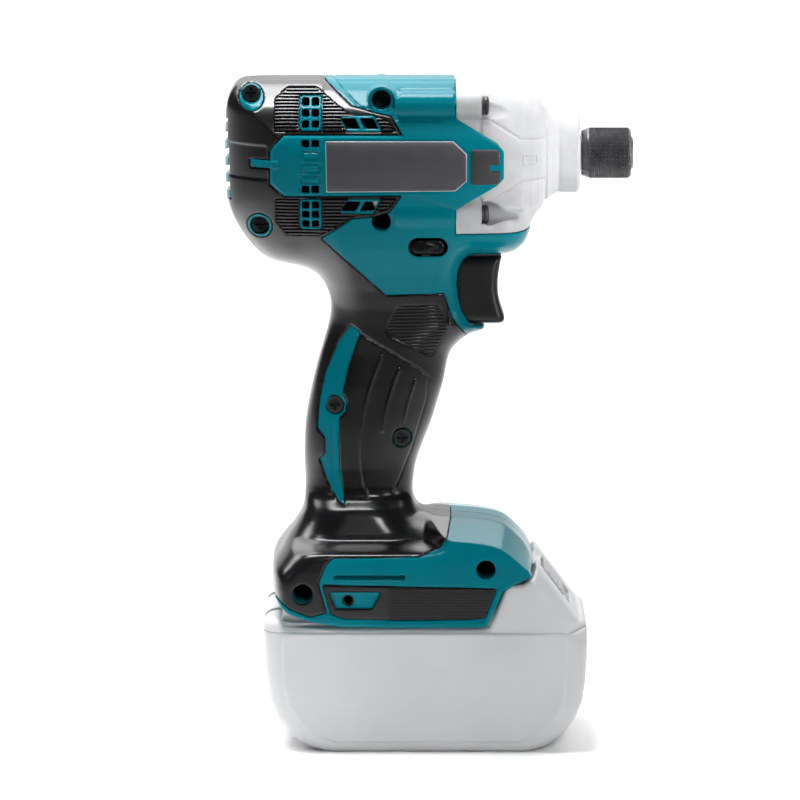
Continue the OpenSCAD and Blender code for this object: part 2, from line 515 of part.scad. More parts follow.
// pack outlines, [x, z]
PACK = [[-59.8, 60], [-59.8, 40], [-59.2, 28], [-57.8, 18], [-54.8, 11], [-49.5, 5.4], [-43, 1.6], [-35, 0], [34, 0], [42, 1.4], [48.5, 5.6],
    [53, 11.5], [55.6, 17.5], [56.6, 25], [57.2, 34], [57.2, 41], [54.7, 45.4], [43.7, 60.1], [39.2, 66], [38.6, 66], [38.6, 65.4], [37.4, 63.3], [33.4, 61.6], [28.4, 61.6],
    [27.2, 60], [24.6, 53], [21.7, 45.9]];
NOSE = [[21.7, 39], [21.7, 45.9], [24.6, 53], [27.2, 60], [28.4, 61.6], [33.4, 61.6], [37.4, 63.3], [38.6, 65.4], [38.6, 66], [39.2, 66],
    [43.7, 60.1], [54.7, 45.4], [57.2, 41], [57.2, 39]];
CAVITY = [[-54, 41], [-52, 14], [-46.5, 5], [-40, 2.4], [37, 2.4], [43.6, 5], [49, 12], [52, 41]];
module pack_plan(z0, z1, d = 0) { translate([0, 0, z0]) linear_extrude(height = z1 - z0) polygon(plan(pack_hw - d, -60 + d, 57.4 - d, 7)); }
module battery_lower_case() {
    color(PALE) difference() {
        intersection() { pack_plan(0, pack_split); yprism([for (i = [0 : 15]) PACK[i]], -45, 45); }
        yprism(CAVITY, -35, 35);
    }
}
module slope_frame() { translate([46.9, 0, 55.9]) rotate([0, 53, 0]) children(); }
module battery_upper_case() {
    color(PALE) difference() {
        union() {
            difference() {
                union() {
                    pack_plan(pack_split + 0.05, 45.9);
                    intersection() { pack_plan(45, 52.8); box([-60, -block_hw, 44], [24, block_hw, 53]); }
                }
                box([-57.6, -31.8, 39], [22, 31.8, 43]);
                box([-57.6, -29, 42], [20, 29, 50.6]);
            }
            intersection() { pack_plan(pack_split + 0.05, 70); yprism(NOSE, -45, 45); }
        }
        intersection() { pack_plan(38, 70, 2.4); yprism([[30, 39], [30, 58], [37, 58.6], [50, 43], [52, 39]], -45, 45); }
        // rail grooves
        for (s = [-1, 1]) box([-62, s > 0 ? 31.2 : -40, 47.2], [20.4, s > 0 ? 40 : -31.2, 49.8]);
        // terminal slots
        for (s = [-1, 1]) box([-62, s * 15 - 2.2, 46], [-22, s * 15 + 2.2, 54]);
        // pocket of the release button
        slope_frame() box([-8.3, -13.4, -1.6], [8.3, 13.4, 6]);
    }
}
module release_button() {
    color(BLACK) slope_frame() union() {
        box([-7.9, -13, -1.25], [3.6, 13, 0.2]);
        for (i = [0 : 3]) box([-6.4 + i * 2.4, -11, 0.1], [-5.2 + i * 2.4, 11, 0.9]);
    }
}
module release_spring() { color(STEEL) slope_frame() translate([0, 0, -axis_z]) xcoil(0.45, 0.12, 3.7, 8.2, 4, 0, axis_z - 0.6, 8); }
module battery_cells() {
    color([0.3, 0.5, 0.42]) for (i = [0 : 4]) for (z = [12.2, 30.8]) ycyl(cell_r, -32.4, 32.4, -38.4 + 18.8 * i, z, 48);
}
module cell_tabs() { color([0.75, 0.76, 0.74]) for (s = [-1, 1]) box([-43, s > 0 ? 32.45 : -32.75, 8], [41, s > 0 ? 32.75 : -32.45, 35]); }
module battery_board() { color([0.08, 0.3, 0.18]) box([-54, -26, 43.4], [16, 26, 45]); }
module battery_contacts() {
    color(BRASS) for (s = [-1, 1]) for (q = [-1, 1]) box([-37, s * 15 + q * 1 - 0.25, 45], [-24, s * 15 + q * 1 + 0.25, 50.4]);
}

right_housing();
left_housing();
right_grip();
left_grip();
side_labels();
side_pads();
housing_screws();
hammer_case();
hammer_case_screws();
nose_bush();
bearing_box();
ring_gear();
spindle_bearing();
motor_yoke();
motor_magnets();
front_bearing();
rear_bearing();
brush_holder();
carbon_brushes();
armature_shaft();
armature_core();
armature_windings();
commutator();
fan();
pinion();
spindle();
planet_pins();
planet_gear_a();
planet_gear_b();
cam_balls();
spring_washer();
hammer();
hammer_spring();
anvil();
chuck_washer();
chuck_sleeve();
chuck_spring();
detent_ball_a();
detent_ball_b();
trigger();
trigger_plunger();
trigger_spring();
switch_body();
reverse_lever();
led_lens();
led_board();
motor_leads();
power_leads();
terminal_block();
terminal_blades();
hook_inserts();
battery_lower_case();
battery_upper_case();
battery_cells();
cell_tabs();
battery_board();
battery_contacts();
release_button();
release_spring();
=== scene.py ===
"""Looks of the cordless impact driver: moulded shells, soft grips, casting, chuck, controls and pack.

Lengths are millimetres until a mesh is made, then metres. X runs to the bit, Y to the tool's left, Z up.
The moulded pieces are described by side-view tables (outline, half width, rounding, relief), turned into
signed distance fields and meshed with surface nets.
"""

import math

import bpy
import numpy as np
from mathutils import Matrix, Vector
from mathutils.geometry import delaunay_2d_cdt


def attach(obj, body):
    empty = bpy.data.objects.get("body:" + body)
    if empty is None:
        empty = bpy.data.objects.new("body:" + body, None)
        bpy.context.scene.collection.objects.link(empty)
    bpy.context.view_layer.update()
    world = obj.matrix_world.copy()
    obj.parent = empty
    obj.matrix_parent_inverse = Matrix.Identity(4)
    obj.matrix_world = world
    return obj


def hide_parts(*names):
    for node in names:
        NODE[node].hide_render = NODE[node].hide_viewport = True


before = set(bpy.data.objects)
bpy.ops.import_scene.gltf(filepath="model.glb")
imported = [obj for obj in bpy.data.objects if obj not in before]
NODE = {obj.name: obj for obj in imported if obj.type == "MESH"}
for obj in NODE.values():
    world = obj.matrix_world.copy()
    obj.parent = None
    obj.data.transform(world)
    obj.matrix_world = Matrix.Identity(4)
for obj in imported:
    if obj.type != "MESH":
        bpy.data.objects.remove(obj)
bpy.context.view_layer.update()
AXIS = 213.0
F32 = np.float32


# ------------------------------------------------------------------ small maths
def smax(a, b, r):
    h = np.maximum(r - np.abs(a - b), 0.0) / r
    return np.maximum(a, b) + h * h * (r * 0.25)


def smin(a, b, r):
    h = np.maximum(r - np.abs(a - b), 0.0) / r
    return np.minimum(a, b) - h * h * (r * 0.25)


def ramp(x, a, b):
    t = np.clip((x - a) / (b - a), 0.0, 1.0)
    return t * t * (3 - 2 * t)


def polydist(P, X, Z):
    """Signed distance to a closed polygon, negative inside."""
    P = np.asarray(P, float)
    Q = np.roll(P, -1, 0)
    d2 = np.full(X.shape, 1e9)
    inside = np.zeros(X.shape, bool)
    for (ax, az), (bx, bz) in zip(P, Q):
        ex, ez = bx - ax, bz - az
        wx, wz = X - ax, Z - az
        t = np.clip((wx * ex + wz * ez) / max(ex * ex + ez * ez, 1e-12), 0, 1)
        dx, dz = wx - t * ex, wz - t * ez
        d2 = np.minimum(d2, dx * dx + dz * dz)
        if bz != az:
            inside ^= ((az <= Z) != (bz <= Z)) & (X < ax + (Z - az) * ex / ez)
    d = np.sqrt(d2)
    return np.where(inside, -d, d)


def linedist(P, X, Z):
    """Distance to an open polyline."""
    d2 = np.full(X.shape, 1e9)
    for (ax, az), (bx, bz) in zip(P[:-1], P[1:]):
        ex, ez = bx - ax, bz - az
        wx, wz = X - ax, Z - az
        t = np.clip((wx * ex + wz * ez) / max(ex * ex + ez * ez, 1e-12), 0, 1)
        d2 = np.minimum(d2, (wx - t * ex) ** 2 + (wz - t * ez) ** 2)
    return np.sqrt(d2)


def fillet(P, r, k=5):
    """Polygon with its corners rounded."""
    P = [np.array(p, float) for p in P]
    out = []
    n = len(P)
    for i in range(n):
        a, b, c = P[i - 1], P[i], P[(i + 1) % n]
        u, v = a - b, c - b
        lu, lv = np.linalg.norm(u), np.linalg.norm(v)
        ang = math.acos(max(-1.0, min(1.0, float(u @ v) / (lu * lv))))
        cut = min(r / max(math.tan(ang / 2), 0.05), 0.45 * lu, 0.45 * lv)
        s, e = b + u / lu * cut, b + v / lv * cut
        for j in range(k + 1):
            t = j / k
            out.append((1 - t) ** 2 * s + 2 * t * (1 - t) * b + t * t * e)
    return np.array(out)


def spline(P, k=5, closed=True):
    """Catmull-Rom curve through the points."""
    P = np.asarray(P, float)
    n = len(P)
    out = []
    for i in range(n if closed else n - 1):
        if closed:
            a, b, c, d = P[i - 1], P[i], P[(i + 1) % n], P[(i + 2) % n]
        else:
            a, b, c, d = P[max(i - 1, 0)], P[i], P[i + 1], P[min(i + 2, n - 1)]
        for j in range(k):
            t = j / k
            out.append(0.5 * (2 * b + (c - a) * t + (2 * a - 5 * b + 4 * c - d) * t * t + (3 * b - a - 3 * c + d) * t ** 3))
    if not closed:
        out.append(P[-1])
    return np.array(out)


def profile(z, pts, soft=2.0):
    """Value by height from a list of (z, value), corners softened over about soft mm."""
    zs = np.arange(30, 262, 0.1)
    v = np.interp(zs, [q[0] for q in pts], [q[1] for q in pts])
    m = max(1, int(soft / 0.1)) | 1
    for _ in range(2):
        pad = np.concatenate([np.full(m // 2, v[0]), v, np.full(m // 2, v[-1])])
        v = np.convolve(pad, np.ones(m) / m, "valid")
    return np.interp(z, zs, v)


# ------------------------------------------------------------------ meshing
CORNER = np.array([(i, j, k) for i in (0, 1) for j in (0, 1) for k in (0, 1)])
EDGES = [(a, b) for a in range(8) for b in range(a + 1, 8) if np.abs(CORNER[a] - CORNER[b]).sum() == 1]


def nets(f, lo, hi, h, steep=1.5, passes=2):
    """Closed quad mesh of f = 0 inside the box, by surface nets on the blocks near the surface."""
    B = 4
    lo = np.floor(np.asarray(lo, float) / h) * h - 2 * h + h * 0.137
    n = np.ceil((np.asarray(hi, float) + 2 * h - lo) / (h * B)).astype(int)
    g = np.stack(np.meshgrid(*[lo[i] + np.arange(n[i] + 1) * B * h for i in range(3)], indexing="ij"), -1)
    shape = g.shape[:3]
    g = g.reshape(-1, 3)
    v = np.concatenate([f(*g[i : i + 400000].T) for i in range(0, len(g), 400000)]).reshape(shape)
    near = np.abs(v) < B * h * 0.87 * steep
    act = np.zeros(tuple(n), bool)
    for i, j, k in CORNER:
        act |= near[i : i + n[0], j : j + n[1], k : k + n[2]]
    blocks = np.argwhere(act)
    o = np.arange(B + 1)
    off = np.stack(np.meshgrid(o, o, o, indexing="ij"), -1).reshape(-1, 3)
    V = np.empty((len(blocks), (B + 1) ** 3), F32)
    for i in range(0, len(blocks), 3000):
        q = (blocks[i : i + 3000, None, :] * B + off[None]) * h + lo
        V[i : i + 3000] = f(*q.reshape(-1, 3).T).reshape(-1, (B + 1) ** 3)
    V = V.reshape(-1, B + 1, B + 1, B + 1)
    S = V < 0
    cnt = np.zeros((len(blocks), B, B, B), np.int8)
    for i, j, k in CORNER:
        cnt += S[:, i : i + B, j : j + B, k : k + B]
    cell = np.argwhere((cnt > 0) & (cnt < 8))
    bi, lc = cell[:, 0], cell[:, 1:]
    cv = np.stack([V[bi, lc[:, 0] + c[0], lc[:, 1] + c[1], lc[:, 2] + c[2]] for c in CORNER], 1).astype(float)
    acc = np.zeros((len(cell), 3))
    num = np.zeros(len(cell))
    for a, b in EDGES:
        va, vb = cv[:, a], cv[:, b]
        x = (va < 0) != (vb < 0)
        t = np.where(x, va / np.where(x, va - vb, 1), 0)
        acc += np.where(x[:, None], CORNER[a] + t[:, None] * (CORNER[b] - CORNER[a]), 0)
        num += x
    gc = blocks[bi] * B + lc
    P = (gc + acc / num[:, None]) * h + lo
    N = n * B + 2
    key = (gc[:, 0].astype(np.int64) * N[1] + gc[:, 1]) * N[2] + gc[:, 2]
    order = np.argsort(key)
    skey = key[order]
    quads = []
    for d in range(3):
        sl0 = [slice(None)] + [slice(0, B)] * 3
        sl1 = list(sl0)
        sl1[d + 1] = slice(1, B + 1)
        s0, s1 = S[tuple(sl0)], S[tuple(sl1)]
        e = np.argwhere(s0 != s1)
        if not len(e):
            continue
        flip = s0[tuple(e.T)]
        node = blocks[e[:, 0]] * B + e[:, 1:]
        u, w = (d + 1) % 3, (d + 2) % 3
        ids = []
        ok = np.ones(len(e), bool)
        for du, dw in ((-1, -1), (0, -1), (0, 0), (-1, 0)):
            c = node.copy()
            c[:, u] += du
            c[:, w] += dw
            kk = (c[:, 0].astype(np.int64) * N[1] + c[:, 1]) * N[2] + c[:, 2]
            pos = np.clip(np.searchsorted(skey, kk), 0, len(skey) - 1)
            ok &= skey[pos] == kk
            ids.append(order[pos])
        q = np.stack(ids, 1)
        q = np.where(flip[:, None], q, q[:, ::-1])
        if not ok.all():
            print("  open cells:", int((~ok).sum()))
        quads.append(q[ok])
    Q = np.concatenate(quads)
    P0 = P.copy()
    for _ in range(passes):
        e = 0.04
        f0 = f(*P.T)
        grad = np.stack([f(P[:, 0] + e, P[:, 1], P[:, 2]) - f0, f(P[:, 0], P[:, 1] + e, P[:, 2]) - f0,
                         f(P[:, 0], P[:, 1], P[:, 2] + e) - f0], 1) / e
        g2 = (grad ** 2).sum(1)
        step = -(f0 / np.maximum(g2, 0.05))[:, None] * grad
        ln = np.linalg.norm(step, axis=1)
        step *= np.minimum(1, 0.4 * h / np.maximum(ln, 1e-9))[:, None]
        P = P + step
        dv = P - P0
        ln = np.linalg.norm(dv, axis=1)
        P = P0 + dv * np.minimum(1, 0.7 * h / np.maximum(ln, 1e-9))[:, None]
    return P, Q


def make(name, P, F, material, body, stands_for=(), smooth=40):
    """Mesh object from millimetre points and faces (an array of quads or triangles, or a list)."""
    me = bpy.data.meshes.new(name)
    P = np.asarray(P, float) * 0.001
    if isinstance(F, np.ndarray):
        k = F.shape[1]
        me.vertices.add(len(P))
        me.vertices.foreach_set("co", P.astype(F32).ravel())
        me.loops.add(F.size)
        me.loops.foreach_set("vertex_index", F.astype(np.int32).ravel())
        me.polygons.add(len(F))
        me.polygons.foreach_set("loop_start", np.arange(0, F.size, k, dtype=np.int32))
        me.polygons.foreach_set("loop_total", np.full(len(F), k, np.int32))
    else:
        me.from_pydata(P.tolist(), [], [list(map(int, q)) for q in F])
    me.update(calc_edges=True)
    me.validate()
    ob = bpy.data.objects.new(name, me)
    bpy.context.scene.collection.objects.link(ob)
    me.materials.append(material)
    me.polygons.foreach_set("use_smooth", np.ones(len(me.polygons), bool))
    if smooth < 180:
        me.set_sharp_from_angle(angle=math.radians(smooth))
    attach(ob, body)
    if stands_for:
        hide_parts(*stands_for)
    print(f"{name}: {len(P)} points, {sum(len(p.vertices) - 2 for p in me.polygons)} triangles")
    return ob


class Soup:
    """Several closed parts collected into one mesh."""

    def __init__(self):
        self.P, self.F, self.n = [], [], 0

    def add(self, P, F):
        P = np.asarray(P, float)
        self.P.append(P)
        self.F += [tuple(int(i) + self.n for i in q) for q in F]
        self.n += len(P)

    def mirrored(self):
        s = Soup()
        s.P = [p * (1, -1, 1) for p in self.P]
        s.F = [q[::-1] for q in self.F]
        s.n = self.n
        return s

    def points(self):
        return np.concatenate(self.P)


def tube_rows(rows, closed_rows=False):
    """Faces of a tube whose cross-sections are rows of equal length, with end caps."""
    m, k = len(rows), len(rows[0])
    P = np.concatenate(rows)
    F = []
    for i in range(m if closed_rows else m - 1):
        j = (i + 1) % m
        for a in range(k):
            b = (a + 1) % k
            F.append((i * k + a, i * k + b, j * k + b, j * k + a))
    if not closed_rows:
        F.append(tuple(range(k))[::-1])
        F.append(tuple((m - 1) * k + a for a in range(k)))
    return P, F


def lathe(pts, seg=96, shape=None):
    """Closed solid of revolution about the spindle axis from a closed [x, r] loop; shape is not used."""
    rows = []
    for i in range(seg):
        t = 2 * math.pi * i / seg
        rows.append(np.array([(x, -r * math.cos(t), AXIS + r * math.sin(t)) for x, r in pts]))
    return tube_rows(rows, True)


def rounded_loop(P, r, k=4):
    return [tuple(p) for p in fillet(P, r, k)]


# ------------------------------------------------------------------ materials
def srgb(r, g, b):
    return tuple(((c / 255) / 12.92 if c / 255 <= 0.04045 else ((c / 255 + 0.055) / 1.055) ** 2.4) for c in (r, g, b)) + (1.0,)


def material(name, dark, light, rough, rough_var=0.08, metal=0.0, grain=900.0, bump=0.15, depth=0.00004, mottle=60.0,
             coat=0.0, spec=0.5, edge_highlight=0.0, streak=None):
    """Surface with its own mottle, grain bump and roughness variation, and painted edge highlights: a lighter colour
    screened over where the mesh is pointy.
    """
    m = bpy.data.materials.new(name)
    m.use_nodes = True
    nt = m.node_tree
    bs = nt.nodes["Principled BSDF"]
    bs.inputs["Metallic"].default_value = metal
    bs.inputs["Specular IOR Level"].default_value = spec
    bs.inputs["Coat Weight"].default_value = coat
    bs.inputs["Coat Roughness"].default_value = 0.2
    tc = nt.nodes.new("ShaderNodeTexCoord")
    src = tc.outputs["Object"]
    if streak:
        mp = nt.nodes.new("ShaderNodeMapping")
        mp.inputs["Scale"].default_value = streak
        nt.links.new(src, mp.inputs["Vector"])
        src = mp.outputs["Vector"]
    n1 = nt.nodes.new("ShaderNodeTexNoise")
    n1.inputs["Scale"].default_value = mottle
    n1.inputs["Detail"].default_value = 6
    nt.links.new(src, n1.inputs["Vector"])
    cr = nt.nodes.new("ShaderNodeValToRGB")
    cr.color_ramp.elements[0].position = 0.32
    cr.color_ramp.elements[1].position = 0.7
    cr.color_ramp.elements[0].color = dark
    cr.color_ramp.elements[1].color = light
    nt.links.new(n1.outputs["Fac"], cr.inputs["Fac"])
    colour = cr.outputs["Color"]
    # Painted edge highlight: pointiness screens a light grey over the colour on sharp convex edges.
    if edge_highlight > 0:
        ge = nt.nodes.new("ShaderNodeNewGeometry")
        rp = nt.nodes.new("ShaderNodeMapRange")
        rp.inputs["From Min"].default_value = 0.57
        rp.inputs["From Max"].default_value = 0.68
        rp.inputs["To Max"].default_value = edge_highlight
        nt.links.new(ge.outputs["Pointiness"], rp.inputs["Value"])
        mx = nt.nodes.new("ShaderNodeMixRGB")
        mx.blend_type = "SCREEN"
        mx.inputs["Color2"].default_value = (0.35, 0.37, 0.38, 1)
        nt.links.new(rp.outputs["Result"], mx.inputs["Fac"])
        nt.links.new(colour, mx.inputs["Color1"])
        colour = mx.outputs["Color"]
    nt.links.new(colour, bs.inputs["Base Color"])
    n2 = nt.nodes.new("ShaderNodeTexNoise")
    n2.inputs["Scale"].default_value = grain
    n2.inputs["Detail"].default_value = 4
    nt.links.new(src, n2.inputs["Vector"])
    mr = nt.nodes.new("ShaderNodeMapRange")
    mr.inputs["To Min"].default_value = max(0.02, rough - rough_var)
    mr.inputs["To Max"].default_value = min(1.0, rough + rough_var)
    nt.links.new(n1.outputs["Fac"], mr.inputs["Value"])
    nt.links.new(mr.outputs["Result"], bs.inputs["Roughness"])
    bp = nt.nodes.new("ShaderNodeBump")
    bp.inputs["Strength"].default_value = bump
    bp.inputs["Distance"].default_value = depth
    nt.links.new(n2.outputs["Fac"], bp.inputs["Height"])
    nt.links.new(bp.outputs["Normal"], bs.inputs["Normal"])
    return m


# Painted edge highlights: the edge amount given below lightens the pointy edges of teal, black plastic, knurl and
# screws.
M_TEAL = material("teal_plastic", srgb(0, 96, 109), srgb(0, 102, 115), 0.18, 0.04, grain=2600, bump=0.2, depth=0.00003, mottle=45, spec=0.1, edge_highlight=0.08)
M_GRIP = material("soft_grip", srgb(13, 13, 14), srgb(17, 17, 18), 0.21, 0.04, grain=3200, bump=0.3, depth=0.00004, mottle=70, spec=0.38)
M_ALU = material("cast_aluminium", (0.31, 0.312, 0.316, 1), (0.35, 0.352, 0.356, 1), 0.45, 0.06, metal=0.0, grain=2200, bump=0.45, depth=0.00006, mottle=160, spec=0.12)
M_BLACK = material("black_plastic", srgb(14, 14, 15), srgb(19, 19, 20), 0.36, 0.06, grain=2600, bump=0.2, depth=0.00003, mottle=80, spec=0.32, edge_highlight=0.1)
M_GLOSS = material("gloss_black_plastic", srgb(5, 5, 6), srgb(9, 9, 10), 0.26, 0.05, grain=2000, bump=0.08, depth=0.00002, mottle=80, spec=0.18)
M_KNURL = material("blackened_steel", (0.07, 0.071, 0.073, 1), (0.105, 0.106, 0.108, 1), 0.3, 0.06, metal=0.85, grain=2200, bump=0.2, depth=0.00003, mottle=240, edge_highlight=0.8)
M_SCREW = material("black_screw", (0.03, 0.03, 0.031, 1), (0.06, 0.06, 0.062, 1), 0.3, 0.08, metal=0.7, grain=2000, bump=0.15, depth=0.00003, mottle=300, edge_highlight=0.3)
# Housing screws: black, darkened further as painted shade of the deep holes they sit in; the edge amount paints a faint
# highlight.
M_SCREW_SHADED = material("black_screw_painted_shade", (0.006, 0.006, 0.006, 1), (0.014, 0.014, 0.015, 1), 0.5, 0.08, metal=0.3, grain=2000, bump=0.15, depth=0.00003, mottle=300, spec=0.25, edge_highlight=0.1)
M_PALE = material("pale_grey_plastic", srgb(177, 178, 179), srgb(184, 185, 186), 0.4, 0.05, grain=2400, bump=0.25, depth=0.00003, mottle=40)
M_PALE2 = material("grey_button", srgb(138, 139, 141), srgb(147, 148, 150), 0.36, 0.05, grain=2400, bump=0.2, depth=0.00003, mottle=60)
M_LABEL = material("charcoal_label", srgb(56, 56, 60), srgb(62, 62, 66), 0.38, 0.05, grain=1800, bump=0.1, depth=0.00002, mottle=90)
M_EDGE = material("plate_edge", srgb(150, 153, 156), srgb(170, 173, 176), 0.35, 0.05, grain=1800, bump=0.1, depth=0.00002, mottle=90)
M_PAD = material("soft_pad", srgb(30, 29, 32), srgb(36, 35, 38), 0.5, 0.06, grain=2600, bump=0.3, depth=0.00004, mottle=80)
M_LENS = material("lamp_lens", (0.75, 0.77, 0.8, 1), (0.85, 0.87, 0.9, 1), 0.12, 0.04, grain=900, bump=0.05, depth=0.00002, mottle=200, coat=0.5)
M_STEEL = material("machined_steel", (0.5, 0.51, 0.52, 1), (0.6, 0.61, 0.62, 1), 0.3, 0.08, metal=1.0, grain=1500, bump=0.12, depth=0.00002, mottle=300, streak=(0.2, 3, 3))
M_DSTEEL = material("hardened_steel", (0.2, 0.2, 0.21, 1), (0.3, 0.3, 0.31, 1), 0.35, 0.08, metal=0.9, grain=1500, bump=0.12, depth=0.00002, mottle=260)
M_OXIDE = material("black_oxide", (0.012, 0.012, 0.013, 1), (0.028, 0.028, 0.03, 1), 0.5, 0.1, metal=0.4, grain=1500, bump=0.2, depth=0.00003, mottle=260)
M_BRASS = material("brass", (0.6, 0.42, 0.16, 1), (0.72, 0.52, 0.22, 1), 0.3, 0.07, metal=1.0, grain=1500, bump=0.1, depth=0.00002, mottle=240)
M_COPPER = material("enamelled_copper", (0.42, 0.16, 0.06, 1), (0.62, 0.27, 0.12, 1), 0.34, 0.06, metal=0.8, grain=1200, bump=0.5, depth=0.00008, mottle=500, streak=(8, 1, 1))
M_IRON = material("laminated_iron", (0.2, 0.2, 0.21, 1), (0.32, 0.32, 0.33, 1), 0.45, 0.08, metal=0.8, grain=800, bump=0.4, depth=0.00006, mottle=300, streak=(12, 0.3, 0.3))
M_MAGNET = material("ferrite", (0.035, 0.035, 0.037, 1), (0.06, 0.06, 0.062, 1), 0.6, 0.1, grain=1600, bump=0.4, depth=0.00005, mottle=160)
M_CARBON = material("carbon", (0.02, 0.02, 0.021, 1), (0.04, 0.04, 0.042, 1), 0.55, 0.1, grain=1800, bump=0.35, depth=0.00004, mottle=400)
M_PHEN = material("phenolic", (0.11, 0.05, 0.025, 1), (0.17, 0.085, 0.045, 1), 0.5, 0.08, grain=1500, bump=0.25, depth=0.00004, mottle=200)
M_CREAM = material("cream_plastic", (0.66, 0.62, 0.5, 1), (0.74, 0.7, 0.58, 1), 0.42, 0.06, grain=2000, bump=0.15, depth=0.00003, mottle=60)
M_BOARD = material("circuit_board", (0.01, 0.1, 0.045, 1), (0.02, 0.17, 0.08, 1), 0.35, 0.08, grain=900, bump=0.3, depth=0.00004, mottle=700)
M_RED = material("red_insulation", (0.32, 0.015, 0.012, 1), (0.42, 0.03, 0.025, 1), 0.45, 0.06, grain=1800, bump=0.2, depth=0.00003, mottle=120)
M_WIRE = material("black_insulation", (0.015, 0.015, 0.016, 1), (0.028, 0.028, 0.03, 1), 0.45, 0.06, grain=1800, bump=0.2, depth=0.00003, mottle=120)
M_CELL = material("cell_wrap", (0.05, 0.2, 0.13, 1), (0.07, 0.26, 0.18, 1), 0.32, 0.06, grain=1200, bump=0.2, depth=0.00003, mottle=60)
M_NICKEL = material("nickel", (0.62, 0.6, 0.55, 1), (0.72, 0.7, 0.65, 1), 0.3, 0.07, metal=1.0, grain=1200, bump=0.12, depth=0.00002, mottle=260)

CAD_LOOKS = {
    M_STEEL: ["ring_gear", "spindle_bearing", "front_bearing", "rear_bearing", "armature_shaft", "pinion", "planet_pins", "planet_gear_a",
              "planet_gear_b", "cam_balls", "spring_washer", "hammer_spring", "chuck_washer", "chuck_spring", "detent_ball_a", "detent_ball_b",
              "trigger_spring", "release_spring"],
    M_DSTEEL: ["spindle", "hammer", "anvil"],
    M_OXIDE: ["motor_yoke"],
    # the housing screws take the darker black that paints the shade of their holes
    M_SCREW_SHADED: ["housing_screws"],
    M_BRASS: ["nose_bush", "terminal_blades", "battery_contacts"],
    M_COPPER: ["armature_windings", "commutator"],
    M_IRON: ["armature_core"],
    M_MAGNET: ["motor_magnets"],
    M_CARBON: ["carbon_brushes"],
    M_PHEN: ["brush_holder"],
    M_CREAM: ["trigger_plunger"],
    M_BLACK: ["bearing_box", "fan", "switch_body", "terminal_block"],
    M_BOARD: ["led_board", "battery_board"],
    M_RED: ["motor_leads"],
    M_WIRE: ["power_leads"],
    M_CELL: ["battery_cells"],
    M_NICKEL: ["cell_tabs"],
}
for mat, names in CAD_LOOKS.items():
    for nm in names:
        slots = NODE[nm].data.materials
        slots.clear()
        slots.append(mat)

# ------------------------------------------------------------------ side-view tables of the tool body
STEP = 0.3
XS = np.arange(-80.0, 46.0, STEP)
ZS = np.arange(38.0, 250.0, STEP)
GX, GZ = np.meshgrid(XS, ZS, indexing="ij")


def field(P, reach=4.0):
    """Table of the distance to a polygon, exact within reach of it."""
    P = np.asarray(P, float)
    lo, hi = P.min(0) - reach, P.max(0) + reach
    i0, i1 = np.searchsorted(XS, [lo[0], hi[0]])
    j0, j1 = np.searchsorted(ZS, [lo[1], hi[1]])
    out = np.full(GX.shape, reach)
    out[i0:i1, j0:j1] = np.minimum(polydist(P, GX[i0:i1, j0:j1], GZ[i0:i1, j0:j1]), reach)
    return out


def track(P, reach=3.0):
    """Table of the distance to a polyline, up to reach."""
    P = np.asarray(P, float)
    lo, hi = P.min(0) - reach, P.max(0) + reach
    i0, i1 = np.searchsorted(XS, [lo[0], hi[0]])
    j0, j1 = np.searchsorted(ZS, [lo[1], hi[1]])
    out = np.full(GX.shape, reach)
    out[i0:i1, j0:j1] = np.minimum(linedist(P, GX[i0:i1, j0:j1], GZ[i0:i1, j0:j1]), reach)
    return out


def disc(x, z, r):
    return np.hypot(GX - x, GZ - z) - r


def rect(x0, x1, z0, z1, r=0.6):
    dx = np.abs(GX - (x0 + x1) / 2) - (x1 - x0) / 2 + r
    dz = np.abs(GZ - (z0 + z1) / 2) - (z1 - z0) / 2 + r
    return np.hypot(np.maximum(dx, 0), np.maximum(dz, 0)) + np.minimum(np.maximum(dx, dz), 0) - r


OUT_TOP = [(80, 241.5), (37, 241.5), (10, 241.5), (-20, 241.5), (-50, 241.5), (-62, 241.4)]
OUT_REAR = [(-67.9, 240.6), (-71.4, 237.5), (-73.5, 232.3), (-74.05, 225), (-74.05, 211), (-73, 199.4), (-70.8, 191.3), (-66.8, 184.2),
            (-61.7, 178), (-56, 174.4), (-47, 172.4), (-41.1, 170), (-37.5, 165.7), (-35.5, 160.1), (-35.5, 154.9), (-36.9, 148.3),
            (-40.1, 137.3), (-42.7, 126.3), (-44.5, 115.3), (-45, 104.2), (-44.7, 93.1), (-45.4, 84.6), (-48.2, 78.6), (-53, 71.4),
            (-56.3, 66), (-57, 60), (-57, 50), (-57, 38)]
OUT_FRONT = [(38.3, 38), (38.3, 52), (38.3, 65), (36.8, 69), (34, 73.1), (29.8, 77.3), (26.1, 79.5), (18.8, 81), (8.6, 81.9),
             (0.6, 82.7), (-3.1, 84), (-4.8, 86.4), (-5.6, 89.4), (-5.6, 93.1), (-4.5, 100.5), (-2, 107.9), (0.9, 115.3), (3.1, 122.6),
             (5.3, 130), (6.7, 137.3), (8, 141.2), (10.7, 144.4), (14.1, 147), (17, 148.2), (19.5, 149), (20.3, 150.4), (18.8, 152.3),
             (16.2, 154.5), (13.4, 158.7), (11.7, 165.2), (11.5, 170.6), (13, 174.8), (15.8, 176.6), (20.2, 176.8), (26.7, 177),
             (31, 178.3), (34.3, 181), (36.1, 184.5), (36.8, 187.4), (37, 189.6)]
OUTLINE = np.concatenate([spline(OUT_TOP[:-1] + OUT_TOP[-1:] + OUT_REAR[:26], 4, False), np.array(OUT_REAR[26:]), np.array(OUT_FRONT[:3]),
                          spline(OUT_FRONT[2:], 4, False)[1:], np.array([(80, 189.7)])])
P_OUT = polydist(OUTLINE, GX, GZ)

